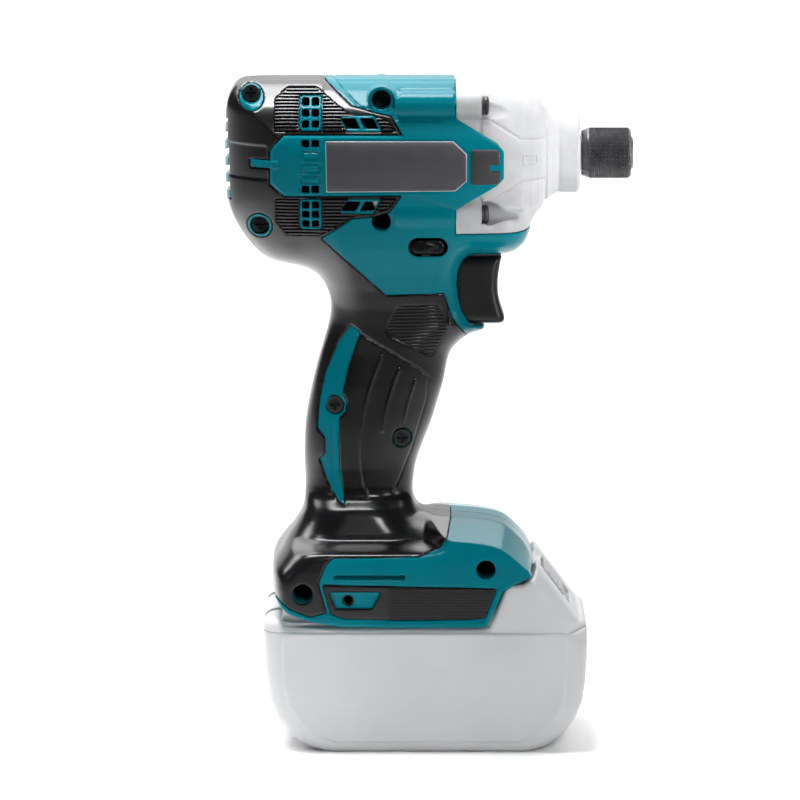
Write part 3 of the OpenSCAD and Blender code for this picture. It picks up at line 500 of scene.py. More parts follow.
W_Z = profile(GZ, [(38, 39.4), (62, 39.4), (66.5, 39.2), (71, 38.8), (72.6, 38), (73.6, 36), (74.2, 33), (74.8, 30), (75.8, 27.8), (78, 26.4), (81, 25.2), (84, 24), (86, 22.8), (87.4, 21.2), (88.8, 19.4), (90.4, 18.2), (93, 17.6),
                   (100, 17.2), (115, 17.5), (130, 17.4), (142, 17), (152, 17), (158, 17.2), (165, 18.2), (171, 19.9), (176, 21.9), (181, 23.6),
                   (186, 24.7), (192, 25.7), (198, 26.8), (204, 27.8), (209, 28.35), (213, 28.5), (250, 28.5)], 1.0)
TOE = ramp(GX, -2, 9) * ramp(-GZ, -94, -88)
W_Z = W_Z + (profile(GZ, [(38, 39.4), (62, 39.4), (70, 39), (78, 38.2), (100, 37)], 2.0) - W_Z) * TOE
low = profile(GZ, [(38, 7), (60, 8), (66, 9), (72, 12), (79, 15), (84, 17), (90, 19), (100, 20), (140, 20), (150, 17), (160, 14), (170, 11.5),
                   (178, 10.5), (190, 11), (198, 16), (206, 28.5), (250, 28.5)], 3)
back = profile(GZ, [(38, 7), (60, 8), (66, 9), (72, 12), (79, 15), (84, 17), (90, 19), (100, 20), (140, 20), (158, 22), (168, 26), (175, 28.5), (250, 28.5)], 3)
R_IN = low + (back - low) * ramp(-GX, 22, 46)
R_IN = R_IN + (4.5 - R_IN) * TOE
N_EXP = profile(GZ, [(38, 3.2), (66, 3), (80, 2.5), (90, 2.35), (150, 2.35), (170, 2.4), (190, 2.3), (205, 2.0), (250, 2.0)], 4)
N_EXP = N_EXP + (4.5 - N_EXP) * TOE

# outlines of the moulded regions
EDGE = [(-37.6, 260), (-37.6, 240.8), (-27.4, 232.3), (-18.9, 230.1), (-13.2, 228.9), (-9.6, 222.3), (-51.5, 222.3), (-55.1, 218.8), (-56.6, 216.8),
        (-56.6, 204.6), (-51.6, 200.6), (-9.6, 200.9), (-13.9, 194.7), (-18.9, 193.1), (-27.5, 192.2), (-34.3, 187.6), (-38.2, 185), (-15.4, 163.8),
        (5.4, 164.4), (8.3, 155.2), (14.1, 147.6), (22, 141.5), (12, 90), (9.3, 84.7), (8.4, 82.2), (6.8, 78.6), (4, 74.6), (-3.2, 71.9),
        (-34.3, 71.4), (-36.8, 69), (-39.4, 62.6), (-36.4, 51.8), (-42.6, 50.1), (-49.8, 52.9), (-53.6, 55.8), (-57, 59.2), (-60, 60.2), (-90, 60.2),
        (-90, 260)]
FOOT_PANEL = [(-38.4, 62.2), (24.6, 60.8), (20.4, 50), (14, 49.2), (-10, 48.9), (-31, 49.4), (-35.4, 51.4)]
HOOK = [(-35.6, 59.2), (-17.4, 59.2), (-20.6, 53.6), (-33.2, 53.6)]
STRIP = [(-27.9, 152.6), (-24.6, 150), (-26.8, 143.7), (-29.2, 136.5), (-31, 127.9), (-29.6, 124.6), (-30.2, 121), (-32.3, 118.8), (-32.5, 112), (-32.1, 100),
         (-30.2, 87), (-32.9, 89.4), (-36.5, 96), (-39.3, 103.4), (-37.2, 105.5), (-37.2, 111.3), (-40, 114.4), (-39.4, 123.5), (-37.2, 134.4), (-32.8, 145.4)]
PANEL = [(-51.3, 222), (-54.9, 218.6), (-56.2, 216.6), (-56.2, 204.9), (-51.4, 200.9), (-9.2, 201.2), (-2, 199.7), (9.2, 195.6), (24.2, 204.4), (26.6, 206.9),
         (26.6, 216.8), (24.2, 219.8), (9.2, 228.4), (2, 227.2), (-12.4, 227.4), (-9.2, 222)]
BOTTOM = [(-90, 300), (-90, 62), (-57.6, 61), (-55.9, 57.8), (-53.5, 54), (-49.8, 51.1), (-42.6, 48.4), (-31.8, 46.8), (-10.3, 46.3), (20.6, 46.5), (23.7, 52.9),
          (26.4, 59.4), (30.4, 62), (37.2, 64.8), (39.5, 66), (60, 66), (60, 300)]
SCREWS = [(-63.5, 236.3), (-60.5, 189.2), (-17, 234.6), (-17, 191.4), (-33.8, 123.5), (-9.6, 111.4), (20.4, 67.5), (-45.2, 58.7)]
UP_FIELD = [(-50.6, 238.2), (-39.8, 238.2), (-28.2, 229.2), (-15, 227.7), (-11.6, 223.5), (-55, 223.5), (-55, 234.4)]
DN_FIELD = [(-54.8, 199.6), (-11.2, 199.9), (-14.6, 195.8), (-26, 193.6), (-34.8, 188.4), (-39.5, 186), (-50.6, 186), (-54.6, 191.2)]
THUMB = [(-11.4, 159.6), (3.8, 160.4), (6.6, 155.3), (7.2, 150.4), (1.2, 140.4), (-13.9, 148.4), (-15.9, 151.2)]
GRIPLINE = [(-24.6, 149.6), (-3.4, 136.6), (-0.1, 133.3), (-0.7, 125.3), (-6.2, 107), (-9.8, 97.9), (-12.4, 92.2)]

# air grilles: frames and their holes
FRAMES = [rect(-46, -38.4, 224, 235.6, 1.2), rect(-46, -38.4, 188.4, 199.4, 1.2)]
HOLES = []
for x in (-43.95, -40.45):
    for z in (226.2, 229.8, 233.4, 190.4, 194, 197.4):
        HOLES.append(rect(x - 1.32, x + 1.32, z - 1.3, z + 1.3, 0.5))
    for z in (219.6, 203.3):
        HOLES.append(rect(x - 1.4, x + 1.4, z - 1.3, z + 1.3, 0.5))
SLANT_UP = [(-31.8, 229), (-19.6, 229), (-16.8, 223.6), (-29, 223.6)]
SLANT_DN = [(-32, 194.2), (-28.6, 199.6), (-17, 199.6), (-19.9, 194.2)]
FRAMES += [field(fillet(SLANT_UP, 0.9)), field(fillet(SLANT_DN, 0.9))]
for x in (-28.6, -22.1):
    HOLES.append(field(fillet([(x - 2.7, 228.1), (x + 2.3, 228.1), (x + 4.2, 224.5), (x - 0.8, 224.5)], 0.5)))
    HOLES.append(field(fillet([(x - 2.8, 195.1), (x + 2.3, 195.1), (x + 4.4, 198.7), (x - 0.7, 198.7)], 0.5)))
VENT = np.minimum.reduce(HOLES)

grip2d = np.minimum(field(EDGE, 6.0), field(fillet(FOOT_PANEL, 0.8)))
TAB = rect(-63.6, -52.2, 210.7, 213.3, 0.4)
for keep in FRAMES + [TAB, field(fillet(STRIP, 0.7, 4)), field(fillet(HOOK, 0.5))] + [disc(-63.4, 234.9, 4.35), disc(-60.5, 189.2, 4.5)]:
    grip2d = np.maximum(grip2d, -keep)

# relief of the hard shell, outwards
relief = np.zeros_like(GX)
for zc, x0 in ((239.72, -33.0), (237.35, -10.5)):
    relief -= 0.22 * ramp(-track([(x0, zc), (12, zc)]), -0.3, -0.05)
relief -= 0.35 * ramp(-track([(-34.6, 243), (-34.2, 240.6), (-24.6, 231.9), (-20.6, 231.2)]), -0.45, -0.1)
for z0, z1 in ((213.9, 216.7), (209.6, 212.2), (205.5, 208.1)):
    relief -= 0.55 * ramp(-np.abs(rect(-45.3, -38.8, z0, z1, 0.9)), -0.5, -0.12)
relief -= 0.25 * ramp(-np.abs(field([(-37.2, 220.6), (8.8, 220.6), (13.8, 216), (13.8, 206.1), (9.5, 202.5), (-37, 201.8)])), -0.45, -0.12)
relief -= 2.2 * ramp(-rect(-34, -8.6, 63.9, 65.5, 0.3), -0.1, 0.35)
relief -= 0.45 * ramp(-field(fillet(STRIP, 0.7, 4)), -0.1, 0.3)
relief -= 0.3 * ramp(-track([(-25.6, 148.6), (-28.4, 140), (-30.7, 130.5)]), -0.5, -0.15)
relief -= 0.3 * ramp(-track([(-34.6, 117), (-34.8, 108), (-34.2, 98), (-32.6, 90.4)]), -0.5, -0.15)
# hook recess and lower lip of the foot
relief -= 1.0 * ramp(-field(fillet(HOOK, 0.5)), -0.2, 0.4)
relief += 0.45 * ramp(-np.abs(field(BOTTOM, 5.0) + 0.7), -1.3, -0.8) * ramp(-GZ, -64, -58)
relief += 0.55 * ramp(-rect(-63.6, -53.4, 210.6, 213.4, 0.4), -0.1, 0.3)
# side panel stands proud
panel2d = field(fillet(PANEL, 0.6, 3))

# relief of the soft grip, outwards
grelief = np.zeros_like(GX)
for line in ([(-16.8, 141.6), (-19.6, 134.5), (-22, 127), (-23.6, 119), (-24.4, 108), (-23.9, 99), (-22.2, 90.6)],
             [(-10.6, 136.8), (-13.6, 128.4), (-15.6, 121), (-16.6, 114)],
             [(-4.8, 132.6), (-7.2, 125), (-9.2, 117)]):
    grelief += 0.45 * ramp(-track(spline(line, 5, False)), -0.75, -0.05)
grelief -= 0.3 * ramp(-track(GRIPLINE), -0.5, -0.12)
grelief -= 0.4 * ramp(-rect(-90, -57.6, 206, 218.6, 0.8), -0.3, 0.5)
grelief -= 0.35 * ramp(-field(fillet(THUMB, 2.0)), -0.2, 0.5)
grelief -= 0.75 * ramp(-field(fillet(UP_FIELD, 0.4)), -0.15, 0.3)
grelief -= 0.75 * ramp(-field(fillet(DN_FIELD, 0.4)), -0.15, 0.3)
grelief -= 0.5 * ramp(-field(fillet(FOOT_PANEL, 0.8)), -0.5, 0.4)

px, pz = np.gradient(P_OUT, STEP)
wx, wz = np.gradient(W_Z, STEP)
TABLE = np.stack([P_OUT, px, pz, W_Z, wx, wz, R_IN, N_EXP, relief, grelief, grip2d, VENT, panel2d, field(BOTTOM, 6.0)], -1).astype(F32)


def look(x, z):
    """Table values at side-view points."""
    u = np.clip((x - XS[0]) / STEP, 0, len(XS) - 1.001)
    v = np.clip((z - ZS[0]) / STEP, 0, len(ZS) - 1.001)
    i, j = u.astype(np.int32), v.astype(np.int32)
    a, b = (u - i).astype(F32)[:, None], (v - j).astype(F32)[:, None]
    return (TABLE[i, j] * (1 - a) + TABLE[i + 1, j] * a) * (1 - b) + (TABLE[i, j + 1] * (1 - a) + TABLE[i + 1, j + 1] * a) * b


def body_field(x, a, z, c):
    """Distance to the outer skin of the tool; a is the distance from the mould split."""
    p, gx, gz, w, wx_, wz_, R, n = (c[:, k] for k in range(8))
    A = a / w
    b = np.maximum(1 + p / R, 0)
    G = (A ** n + b ** n) ** (1 / n) + 1e-6
    gy = (A / G) ** (n - 1) / w
    gp = (b / G) ** (n - 1) / R
    gw = -gy * A
    norm = np.sqrt(gy * gy + (gp * gx + gw * wx_) ** 2 + (gp * gz + gw * wz_) ** 2)
    f = (G - 1) / np.maximum(norm, 0.012)
    # crown: a rim along the mould split and flat facets below it, three on the front part and one on the cap
    cap = ramp(-x, 36.9, 37.9)
    f = smax(f, p + 0.75 + 0.35 * cap - 9 * ramp(-z, -205, -190), 0.5)
    up = z - AXIS
    f = smax(f, 0.250 * a + 0.968 * up - 28.12 - 0.5 * cap, 0.35)
    f = smax(f, 0.438 * a + 0.899 * up - 28.12 - 0.5 * cap, 0.35)
    f = smax(f, 0.609 * a + 0.793 * up - 28.12 - 0.5 * cap, 0.35)
    f = smax(f, 0.53 * a + 0.848 * up - 27.85 - 0.9 * (1 - cap), 0.6)
    # crowned top of the foot's front block
    return np.where(z < 95, smax(f, p + 0.155 * np.maximum(a - 11, 0) * np.clip(1.3 * gz, 0, 1) - 9 * (1 - ramp(x, -7, -1)), 0.4), f)


def box3(x, a, z, lo, hi):
    return np.maximum.reduce([lo[0] - x, x - hi[0], lo[1] - a, a - hi[1], lo[2] - z, z - hi[2]])


def slot_y(x, z, x0, x1, zc, r):
    return np.hypot(x - np.clip(x, x0, x1), z - zc) - r


def shell_half(right):
    """Field of one hard housing half, with a = distance from the mould split."""

    def f(x, a, z):
        c = look(x, z)
        aa = np.maximum(a, 0)
        sk = body_field(x, aa, z, c)
        rel, g, vent, pan, bot = c[:, 8], c[:, 10], c[:, 11], c[:, 12], c[:, 13]
        rad = np.hypot(aa, z - AXIS)
        out = sk - rel
        # ridges over the casting's screws and the boss ahead of the grip
        for s in (1, -1):
            d = np.hypot(aa - 22, z - AXIS - s * 19.5) - 5.1
            out = smin(out, smax(d, -11.5 - x + 0.6 * (25 - aa), 1.5), 0.8)
        d = np.hypot(x + 17, z - 234.6) - 4.75
        out = smin(out, smax(d, np.maximum(aa - 21.8, 12 - aa), 0.6), 0.7)
        out = smax(out, np.minimum(x - 9.3, z - 186.5 - 0.02 * (x - 9.3)), 0.6)
        out = smax(out, bot, 0.9)
        # raised side panel with the tongue that laps over the casting
        out = smin(out, smax(smax(np.abs(sk - 0.1 - rel) - 0.68, pan, 0.55), 12 - aa, 0.3), 0.25)
        # room for the soft grip
        out = smax(out, -smax(g, -(sk + 1.3), 0.3), 0.35)
        # hollow
        hol = smax(np.maximum(sk + 2.9, 56.3 - z), np.minimum(x - 7, z - 184), 0.5)
        hol = np.minimum(hol, np.maximum(rad - 25.8, -4 - x))
        boss = np.full_like(x, 9.0)
        for sx, sz in SCREWS:
            boss = np.minimum(boss, np.hypot(x - sx, z - sz) - 4.5)
        hol = np.maximum(hol, -boss)
        out = np.maximum(out, -hol)
        # pack channel, rails and terminal opening
        out = smax(out, -np.maximum(aa - 34.3, z - 53.5), 0.4)
        out = np.minimum(out, box3(x, aa, z, (-40, 31.6, 47.6), (19, 35.2, 49.4)))
        out = np.maximum(out, -box3(x, aa, z, (-39, -1, 50), (-15, 23, 58)))
        # openings
        out = smax(out, -np.maximum(vent, 8 - aa), 0.25)
        out = smax(out, -box3(x, aa, z, (4, -1, 151.4), (60, 10.2, 176.8)), 0.5)
        out = smax(out, -np.maximum(slot_y(x, z, -3.9, 3.2, 181.8, 3.5), 12 - aa), 0.5)
        out = np.maximum(out, -box3(x, aa, z, (24, -1, 180.6), (60, 5, 185.4)))
        d = np.hypot(x + 29, z - 56.2)
        out = smax(out, -np.maximum(d - np.where(aa > 37.2, 2.15, 2.7), 30 - aa), 0.2)
        for sx, sz in SCREWS:
            d = np.hypot(x - sx, z - sz)
            if right:
                out = smax(out, -np.maximum(d - 3.45, 13 - aa), 0.3)
                out = np.maximum(out, -(d - 1.7))
            else:
                out = np.maximum(out, -np.maximum(d - 1.6, aa - 12.6))
        for s in (1, -1):
            d = np.hypot(aa - 22, z - AXIS - s * 19.5)
            out = np.maximum(out, -np.maximum(d - 1.8, -3 - x))
        # louvres at the back
        lou = np.maximum(np.maximum(np.abs(z - 211.9) - 14.3, aa - 9), x + 69)
        out = np.maximum(out, -lou)
        for zc in (223.1, 217, 210.9, 204.8, 198.7):
            sl = z - zc - 0.7 * (x + 72)
            fin = np.maximum(np.abs(sl) - 1.45, np.maximum(x + 67.5, -73.45 - x + 0.0022 * (z - 214) ** 2 + 0.018 * aa * aa))
            out = np.minimum(out, smax(fin, aa - 9.8, 0.4))
        return smax(out, 0.04 - a, 0.25)

    return f


def grip_half(right):
    """Field of one soft grip half."""

    def f(x, a, z):
        c = look(x, z)
        aa = np.maximum(a, 0)
        sk = body_field(x, aa, z, c)
        out = smax(sk - c[:, 9], -(sk + 1.18), 0.3)
        out = smax(out, c[:, 10] + 0.1, 0.7)
        out = smax(out, c[:, 13] + 0.1, 0.5)
        out = np.maximum(out, -box3(x, aa, z, (4, -1, 151.2), (60, 10.3, 177)))
        if right:
            for sx, sz in SCREWS[4:]:
                out = smax(out, -(np.hypot(x - sx, z - sz) - 3.55), 0.4)
        lou = np.maximum(np.maximum(np.abs(z - 211.9) - 14.5, aa - 10.2), x + 69)
        out = smax(out, -lou, 0.5)
        return smax(out, 0.04 - a, 0.2)

    return f


def to_side(P, right):
    return P * (1, -1, 1) if right else P


# skin heights for pieces laid on the body
A_SKIN = W_Z * np.power(np.maximum(1 - np.power(np.clip(1 + P_OUT / R_IN, 0, 1), N_EXP), 0), 1 / N_EXP)
SKX, SKZ = np.gradient(A_SKIN, STEP)


def lay(x, z, off):
    """Points on the tool's skin at side-view x, z, raised along the skin's normal; a is positive outwards."""
    x, z = np.atleast_1d(np.asarray(x, float)), np.atleast_1d(np.asarray(z, float))
    u = np.clip((x - XS[0]) / STEP, 0, len(XS) - 1.001)
    v = np.clip((z - ZS[0]) / STEP, 0, len(ZS) - 1.001)
    i, j = u.astype(int), v.astype(int)
    fa, fb = u - i, v - j

    def at(T):
        return (T[i, j] * (1 - fa) + T[i + 1, j] * fa) * (1 - fb) + (T[i, j + 1] * (1 - fa) + T[i + 1, j + 1] * fa) * fb

    n = np.stack([-at(SKX), np.ones_like(x), -at(SKZ)], 1)
    n /= np.linalg.norm(n, axis=1)[:, None]
    return np.stack([x, at(A_SKIN), z], 1) + n * np.broadcast_to(np.asarray(off, float), x.shape)[:, None]


def plate(poly, top, bottom, bevel, step=1.2, crown=0.0):
    """Closed plate of an outline laid on the skin, with a bevelled rim. Returns points with a positive outwards, and faces."""
    poly = np.asarray(poly, float)
    if ((poly[:, 0] * np.roll(poly[:, 1], -1)) - (np.roll(poly[:, 0], -1) * poly[:, 1])).sum() < 0:
        poly = poly[::-1]
    pts = []
    for a, b in zip(poly, np.roll(poly, -1, 0)):
        m = max(1, int(np.linalg.norm(b - a) / step))
        pts += [a + (b - a) * k / m for k in range(m)]
    pts = np.array(pts)
    t = np.roll(pts, -1, 0) - np.roll(pts, 1, 0)
    t /= np.linalg.norm(t, axis=1)[:, None]
    inward = np.stack([-t[:, 1], t[:, 0]], 1)
    n = len(pts)
    rims = []
    for k in range(4):
        ang = math.pi / 2 * k / 3
        rims.append((pts + inward * bevel * (1 - math.cos(ang)), top - bevel + bevel * math.sin(ang)))
    inner = rims[-1][0]
    lo, hi = inner.min(0), inner.max(0)
    gx, gz = np.meshgrid(np.arange(lo[0], hi[0], step), np.arange(lo[1], hi[1], step), indexing="ij")
    g = np.stack([gx.ravel(), gz.ravel()], 1)
    d = polydist(inner, g[:, 0], g[:, 1])
    g = g[d < -0.45 * step]
    vin = [Vector(p) for p in np.concatenate([inner, g])]
    r = delaunay_2d_cdt(vin, [(i, (i + 1) % n) for i in range(n)], [], 1, 1e-6)
    V2 = np.array([tuple(v) for v in r[0]])
    tri = [tuple(q) for q in r[2]]
    low = lay(pts[:, 0], pts[:, 1], bottom)
    rows = [low] + [lay(q[:, 0], q[:, 1], o) for q, o in rims[:-1]]
    dd = -polydist(inner, V2[:, 0], V2[:, 1])
    cap = lay(V2[:, 0], V2[:, 1], top + crown * np.clip(dd / 3.0, 0, 1))
    P = np.concatenate(rows + [cap])
    F = []
    m = len(rows)
    for i in range(m - 1):
        for k in range(n):
            q = (k + 1) % n
            F.append((i * n + k, i * n + q, (i + 1) * n + q, (i + 1) * n + k))
    # the cap's own rim, matched to the outline
    near = {}
    for k in range(n):
        near[k] = m * n + int(np.argmin(((V2 - inner[k]) ** 2).sum(1)))
    for k in range(n):
        q = (k + 1) % n
        F.append(((m - 1) * n + k, (m - 1) * n + q, near[q], near[k]))
    for t3 in tri:
        F.append(tuple(m * n + i for i in t3))
    under = lay(V2[:, 0], V2[:, 1], bottom)
    base = len(P)
    P = np.concatenate([P, under])
    for k in range(n):
        q = (k + 1) % n
        a, b = base + near[q] - m * n, base + near[k] - m * n
        F.append((q, k, b, a))
    for t3 in tri:
        F.append(tuple(base + i for i in t3[::-1]))
    used = sorted({i for q in F for i in q})
    idx = {o: k for k, o in enumerate(used)}
    return P[used], [tuple(idx[i] for i in q) for q in F]


def bar_on_skin(xs, zs, width, height, sink=0.25):
    """Rounded rib laid along side-view points. a is positive outwards."""
    xs, zs = np.asarray(xs, float), np.asarray(zs, float)
    base = lay(xs, zs, 0.0)
    up = lay(xs, zs, 1.0) - base
    t = np.gradient(base, axis=0)
    t /= np.linalg.norm(t, axis=1)[:, None]
    side = np.cross(t, up)
    side /= np.linalg.norm(side, axis=1)[:, None]
    prof = [(-0.5, -sink), (-0.5, 0.45 * height), (-0.3, 0.9 * height), (0, height), (0.3, 0.9 * height), (0.5, 0.45 * height), (0.5, -sink)]
    rows = []
    for k in range(len(xs)):
        end = 0.55 if k in (0, len(xs) - 1) else 1.0
        rows.append(np.array([base[k] + side[k] * (u * width * end) + up[k] * (v * (end if v > 0 else 1)) for u, v in prof]))
    return tube_rows(rows)


def spans(poly, z, holes=(), gap=0.35):
    """x ranges of a horizontal line inside a polygon and clear of holes."""
    def cross(P):
        P = np.asarray(P, float)
        xs = []
        for (ax, az), (bx, bz) in zip(P, np.roll(P, -1, 0)):
            if (az <= z) != (bz <= z):
                xs.append(ax + (z - az) * (bx - ax) / (bz - az))
        return sorted(xs)

    xs = cross(poly)
    got = [(xs[i] + gap, xs[i + 1] - gap) for i in range(0, len(xs) - 1, 2)]
    for h in holes:
        cs = cross(h)
        for i in range(0, len(cs) - 1, 2):
            lo, hi = cs[i] - gap, cs[i + 1] + gap
            nxt = []
            for a, b in got:
                if hi <= a or lo >= b:
                    nxt.append((a, b))
                    continue
                if lo - a > 0.8:
                    nxt.append((a, lo))
                if b - hi > 0.8:
                    nxt.append((hi, b))
            got = nxt
    return [(a, b) for a, b in got if b - a > 1.0]


def box_poly(x0, x1, z0, z1):
    return [(x0, z0), (x1, z0), (x1, z1), (x0, z1)]


def rib_set(right):
    s = Soup()
    frames = [box_poly(-46.3, -38.1, 223.7, 235.9), box_poly(-46.3, -38.1, 188.1, 199.7), SLANT_UP, SLANT_DN]

    def row(a, b, z, w, hgt, sink, slope=0.0):
        m = max(3, int((b - a) / 1.6))
        x = np.linspace(a, b, m)
        s.add(*bar_on_skin(x, z + slope * (x - a), w, hgt, sink))

    for k in range(13):
        z = 224.3 + 1.22 * k - 0.009 * k * k
        for a, b in spans(UP_FIELD, z, frames, 0.15):
            row(a, b, z, 0.66, 0.1, 0.95)
    for k in range(11):
        z = 199.0 - 1.25 * k
        for a, b in spans(DN_FIELD, z, frames, 0.15):
            row(a, b, z, 0.66, 0.1, 0.95)
    for k in range(15):
        z = 159.3 - 1.25 * k
        for a, b in spans(THUMB, z, (), 0.6):
            row(a, b, z, 0.6, 0.22, 0.6, 0.01)
    holes = [HOOK]
    for k in range(10):
        z = 60.0 - 1.12 * k
        for a, b in spans(FOOT_PANEL, z, holes, 0.9):
            a = max(a, -14.5)
            if b - a > 2:
                row(a, b, z, 0.5, -0.12, 0.9)
    return s


def housing(right):
    tag = "right" if right else "left"
    P, Q = nets(shell_half(right), (-74.5, -0.5, 45.5), (37.6, 40.6, 242), 0.5)
    make(tag + "_shell", to_side(P, right), Q[:, ::-1] if right else Q, M_TEAL, "tool", [tag + "_housing"], smooth=35)
    P, Q = nets(grip_half(right), (-74.5, -0.5, 48), (27, 40.6, 242), 0.45)
    make(tag + "_soft_grip", to_side(P, right), Q[:, ::-1] if right else Q, M_GRIP, "tool", [tag + "_grip"], smooth=35)
    s = rib_set(right)
    if right:
        s = s.mirrored()
    make(tag + "_grip_ribs", s.points(), s.F, M_GRIP, "tool", smooth=50)


housing(True)
housing(False)


# ------------------------------------------------------------------ pieces modelled on their own
class Sheet2:
    """Distance to a closed outline, as a table over two coordinates."""

    def __init__(self, P, lo, hi, step=0.2):
        self.lo, self.step = lo, step
        u = np.arange(lo[0], hi[0] + step, step)
        v = np.arange(lo[1], hi[1] + step, step)
        self.T = polydist(P, *np.meshgrid(u, v, indexing="ij")).astype(F32)

    def __call__(self, u, v):
        T = self.T
        a = np.clip((u - self.lo[0]) / self.step, 0, T.shape[0] - 1.001)
        b = np.clip((v - self.lo[1]) / self.step, 0, T.shape[1] - 1.001)
        i, j = a.astype(np.int32), b.astype(np.int32)
        a, b = a - i, b - j
        return (T[i, j] * (1 - a) + T[i + 1, j] * a) * (1 - b) + (T[i, j + 1] * (1 - a) + T[i + 1, j + 1] * a) * b


EARS = (19.5, -19.5)

# cast gear case
CASE_OUT = Sheet2(fillet([(2.2, -4), (2.2, 25.6), (9.6, 25.6), (9.6, 27.8), (17, 27.3), (25.6, 25.6), (33, 23.8), (37, 22.1), (39.4, 20.4), (40.9, 18.2),
                          (41.3, 17.2), (42.4, 16.7), (44.2, 15.2), (46.6, 14.0), (47.3, 14.2), (53.3, 14.2), (54.3, 13.1), (54.3, -4)], 0.3, 3),
                  (-1, 0), (58, 36), 0.15)
CASE_IN = Sheet2([(1, -4), (1, 23), (11, 23), (11, 21), (13, 19.6), (35, 19.6), (37.6, 19), (38.4, 17.4), (38.4, 8.4), (56, 8.4), (56, -4)],
                 (-1, 0), (58, 36), 0.15)
PLATEAU = Sheet2([(14, 231.4), (20.2, 227.6), (32.6, 219.9), (45, 219.3), (45, 206.8), (33.4, 205.6), (20.2, 197.6), (14, 194)], (8, 184), (48, 242), 0.25)

TONGUE = Sheet2(PANEL, (0, 190), (40, 236), 0.25)


def case_field(x, y, z):
    a = np.abs(y)
    r = np.hypot(a, z - AXIS)
    out = CASE_OUT(x, r)
    for s in EARS:
        d = np.hypot(a - 22, z - AXIS - s)
        ear = np.maximum(np.maximum(d - 4.55, 9.62 - x), x - 18.7)
        out = smin(out, ear, 2.6)
    # saddle carried down to the chin of the housing
    zc = np.clip(z, 181.0, 187.0)
    sad = body_field(x, a, zc, look(x, zc)) + 0.12
    sad = smax(sad, z - 193.6, 2.5)
    sad = np.maximum(np.maximum(sad, 9.62 - x), 186.78 + 0.02 * (x - 9.3) - z)
    out = smin(out, sad, 5.0)
    out = np.maximum(out, 186.78 + 0.02 * (x - 9.3) - z)
    out = np.maximum(out, np.where(r > 25.65, 9.6 - x, -9.0))
    # raised middle facet and a small bare pad
    side = ramp(a, 9, 13)
    out = out - 0.5 * side * ramp(-PLATEAU(x, z), -0.35, 0.45) * ramp(-x, -41.6, -40.6) * ramp(x, 17.8, 19.5)
    out = out + 0.4 * side * ramp(-np.abs(PLATEAU(x, z) - 0.5), -0.55, -0.15) * ramp(-x, -41.6, -40.6) * ramp(x, 18.8, 20.0)
    out = out + 0.35 * ramp(-np.abs(x - 41.9), -0.55, -0.15)
    pad = np.maximum(np.abs(x - 36.2) - 2.7, np.abs(z - 213.4) - 1.9)
    out = out - 0.35 * side * ramp(-np.abs(pad + 0.3), -0.45, -0.1)
    out = out + 0.4 * side * ramp(-TONGUE(x, z), 0.5, 1.3)
    # screw seats and the driver channels ahead of them
    for s in EARS:
        d = np.hypot(a - 22, z - AXIS - s)
        cut = 5.2 - (0.27 if s < 0 else 0.08) * np.maximum(x - 18.75, 0)
        out = smax(out, -np.maximum(d - cut, 18.75 - x), 0.45)
        out = np.maximum(out, -np.maximum(d - 1.9, x - 24))
    return np.maximum(out, -CASE_IN(x, r))


P, Q = nets(case_field, (2, -29.5, 186), (54.6, 29.5, 241.6), 0.46)
make("gear_case", P, Q, M_ALU, "tool", ["hammer_case"], smooth=38)


def bolt_field(x, y, z):
    a = np.abs(y)
    out = np.full_like(x, 9.0)
    for s in EARS:
        v, w = a - 22, z - AXIS - s
        r = np.hypot(v, w)
        head = smax(np.maximum(r - 3.5, 18.8 - x), x - 21.6 + 0.05 * r * r, 0.7)
        cross = np.maximum(np.minimum(np.abs(v), np.abs(w)) - 0.5, np.maximum(np.maximum(np.abs(v), np.abs(w)) - 1.9, 20.0 - x))
        head = smax(head, -cross, 0.15)
        head = smax(head, -np.maximum(np.abs(x - 19.7) - 0.16, 3.15 - r), 0.15)
        out = np.minimum(out, np.minimum(head, np.maximum(r - 1.6, np.maximum(0.05 - x, x - 20))))
    return out


P, Q = nets(bolt_field, (0, -26, 189), (23, 26, 237), 0.27)
make("gear_case_bolts", P, Q, M_SCREW, "tool", ["hammer_case_screws"], smooth=40)

# knurled chuck sleeve: a turned profile whose middle carries crossed grooves
N_AROUND = 42
SEG = N_AROUND * 10
ang = np.arange(SEG) * 2 * math.pi / SEG
rows = []
for x, r in ((56.5, 7.7), (55.0, 7.72), (55.0, 8.0), (55.35, 8.28), (56.0, 8.42), (56.7, 8.8), (57.1, 9.0), (57.3, 9.02)):
    rows.append((x, np.full(SEG, r)))
for k in range(122):
    x = 57.45 + k * 0.122
    u, v = ang * N_AROUND / (2 * math.pi), k / 11.0
    g = np.minimum(*[1 - np.abs(2 * (t % 1.0) - 1) for t in (u + v, u - v)])
    rows.append((x, 8.48 + 0.78 * np.minimum(1, 1.15 * g) * min(1.0, (k + 1) / 4, (122 - k) / 4)))
for x, r in ((72.35, 8.62), (72.6, 8.55), (72.7, 8.42), (72.7, 8.3), (65.0, 8.3), (65.0, 6.36), (61.5, 6.36)):
    rows.append((x, np.full(SEG, r)))
rings = [np.stack([np.full(SEG, x), -r * np.cos(ang), AXIS + r * np.sin(ang)], 1) for x, r in rows]
m = len(rings)
P = np.concatenate(rings)
i = np.arange(m)[:, None] * SEG
j = ((np.arange(m) + 1) % m)[:, None] * SEG
k0, k1 = np.arange(SEG)[None], ((np.arange(SEG) + 1) % SEG)[None]
Q = np.stack([i + k0, j + k0, j + k1, i + k1], -1).reshape(-1, 4)
make("knurled_sleeve", P, Q, M_KNURL, "sleeve", ["chuck_sleeve"], smooth=60)

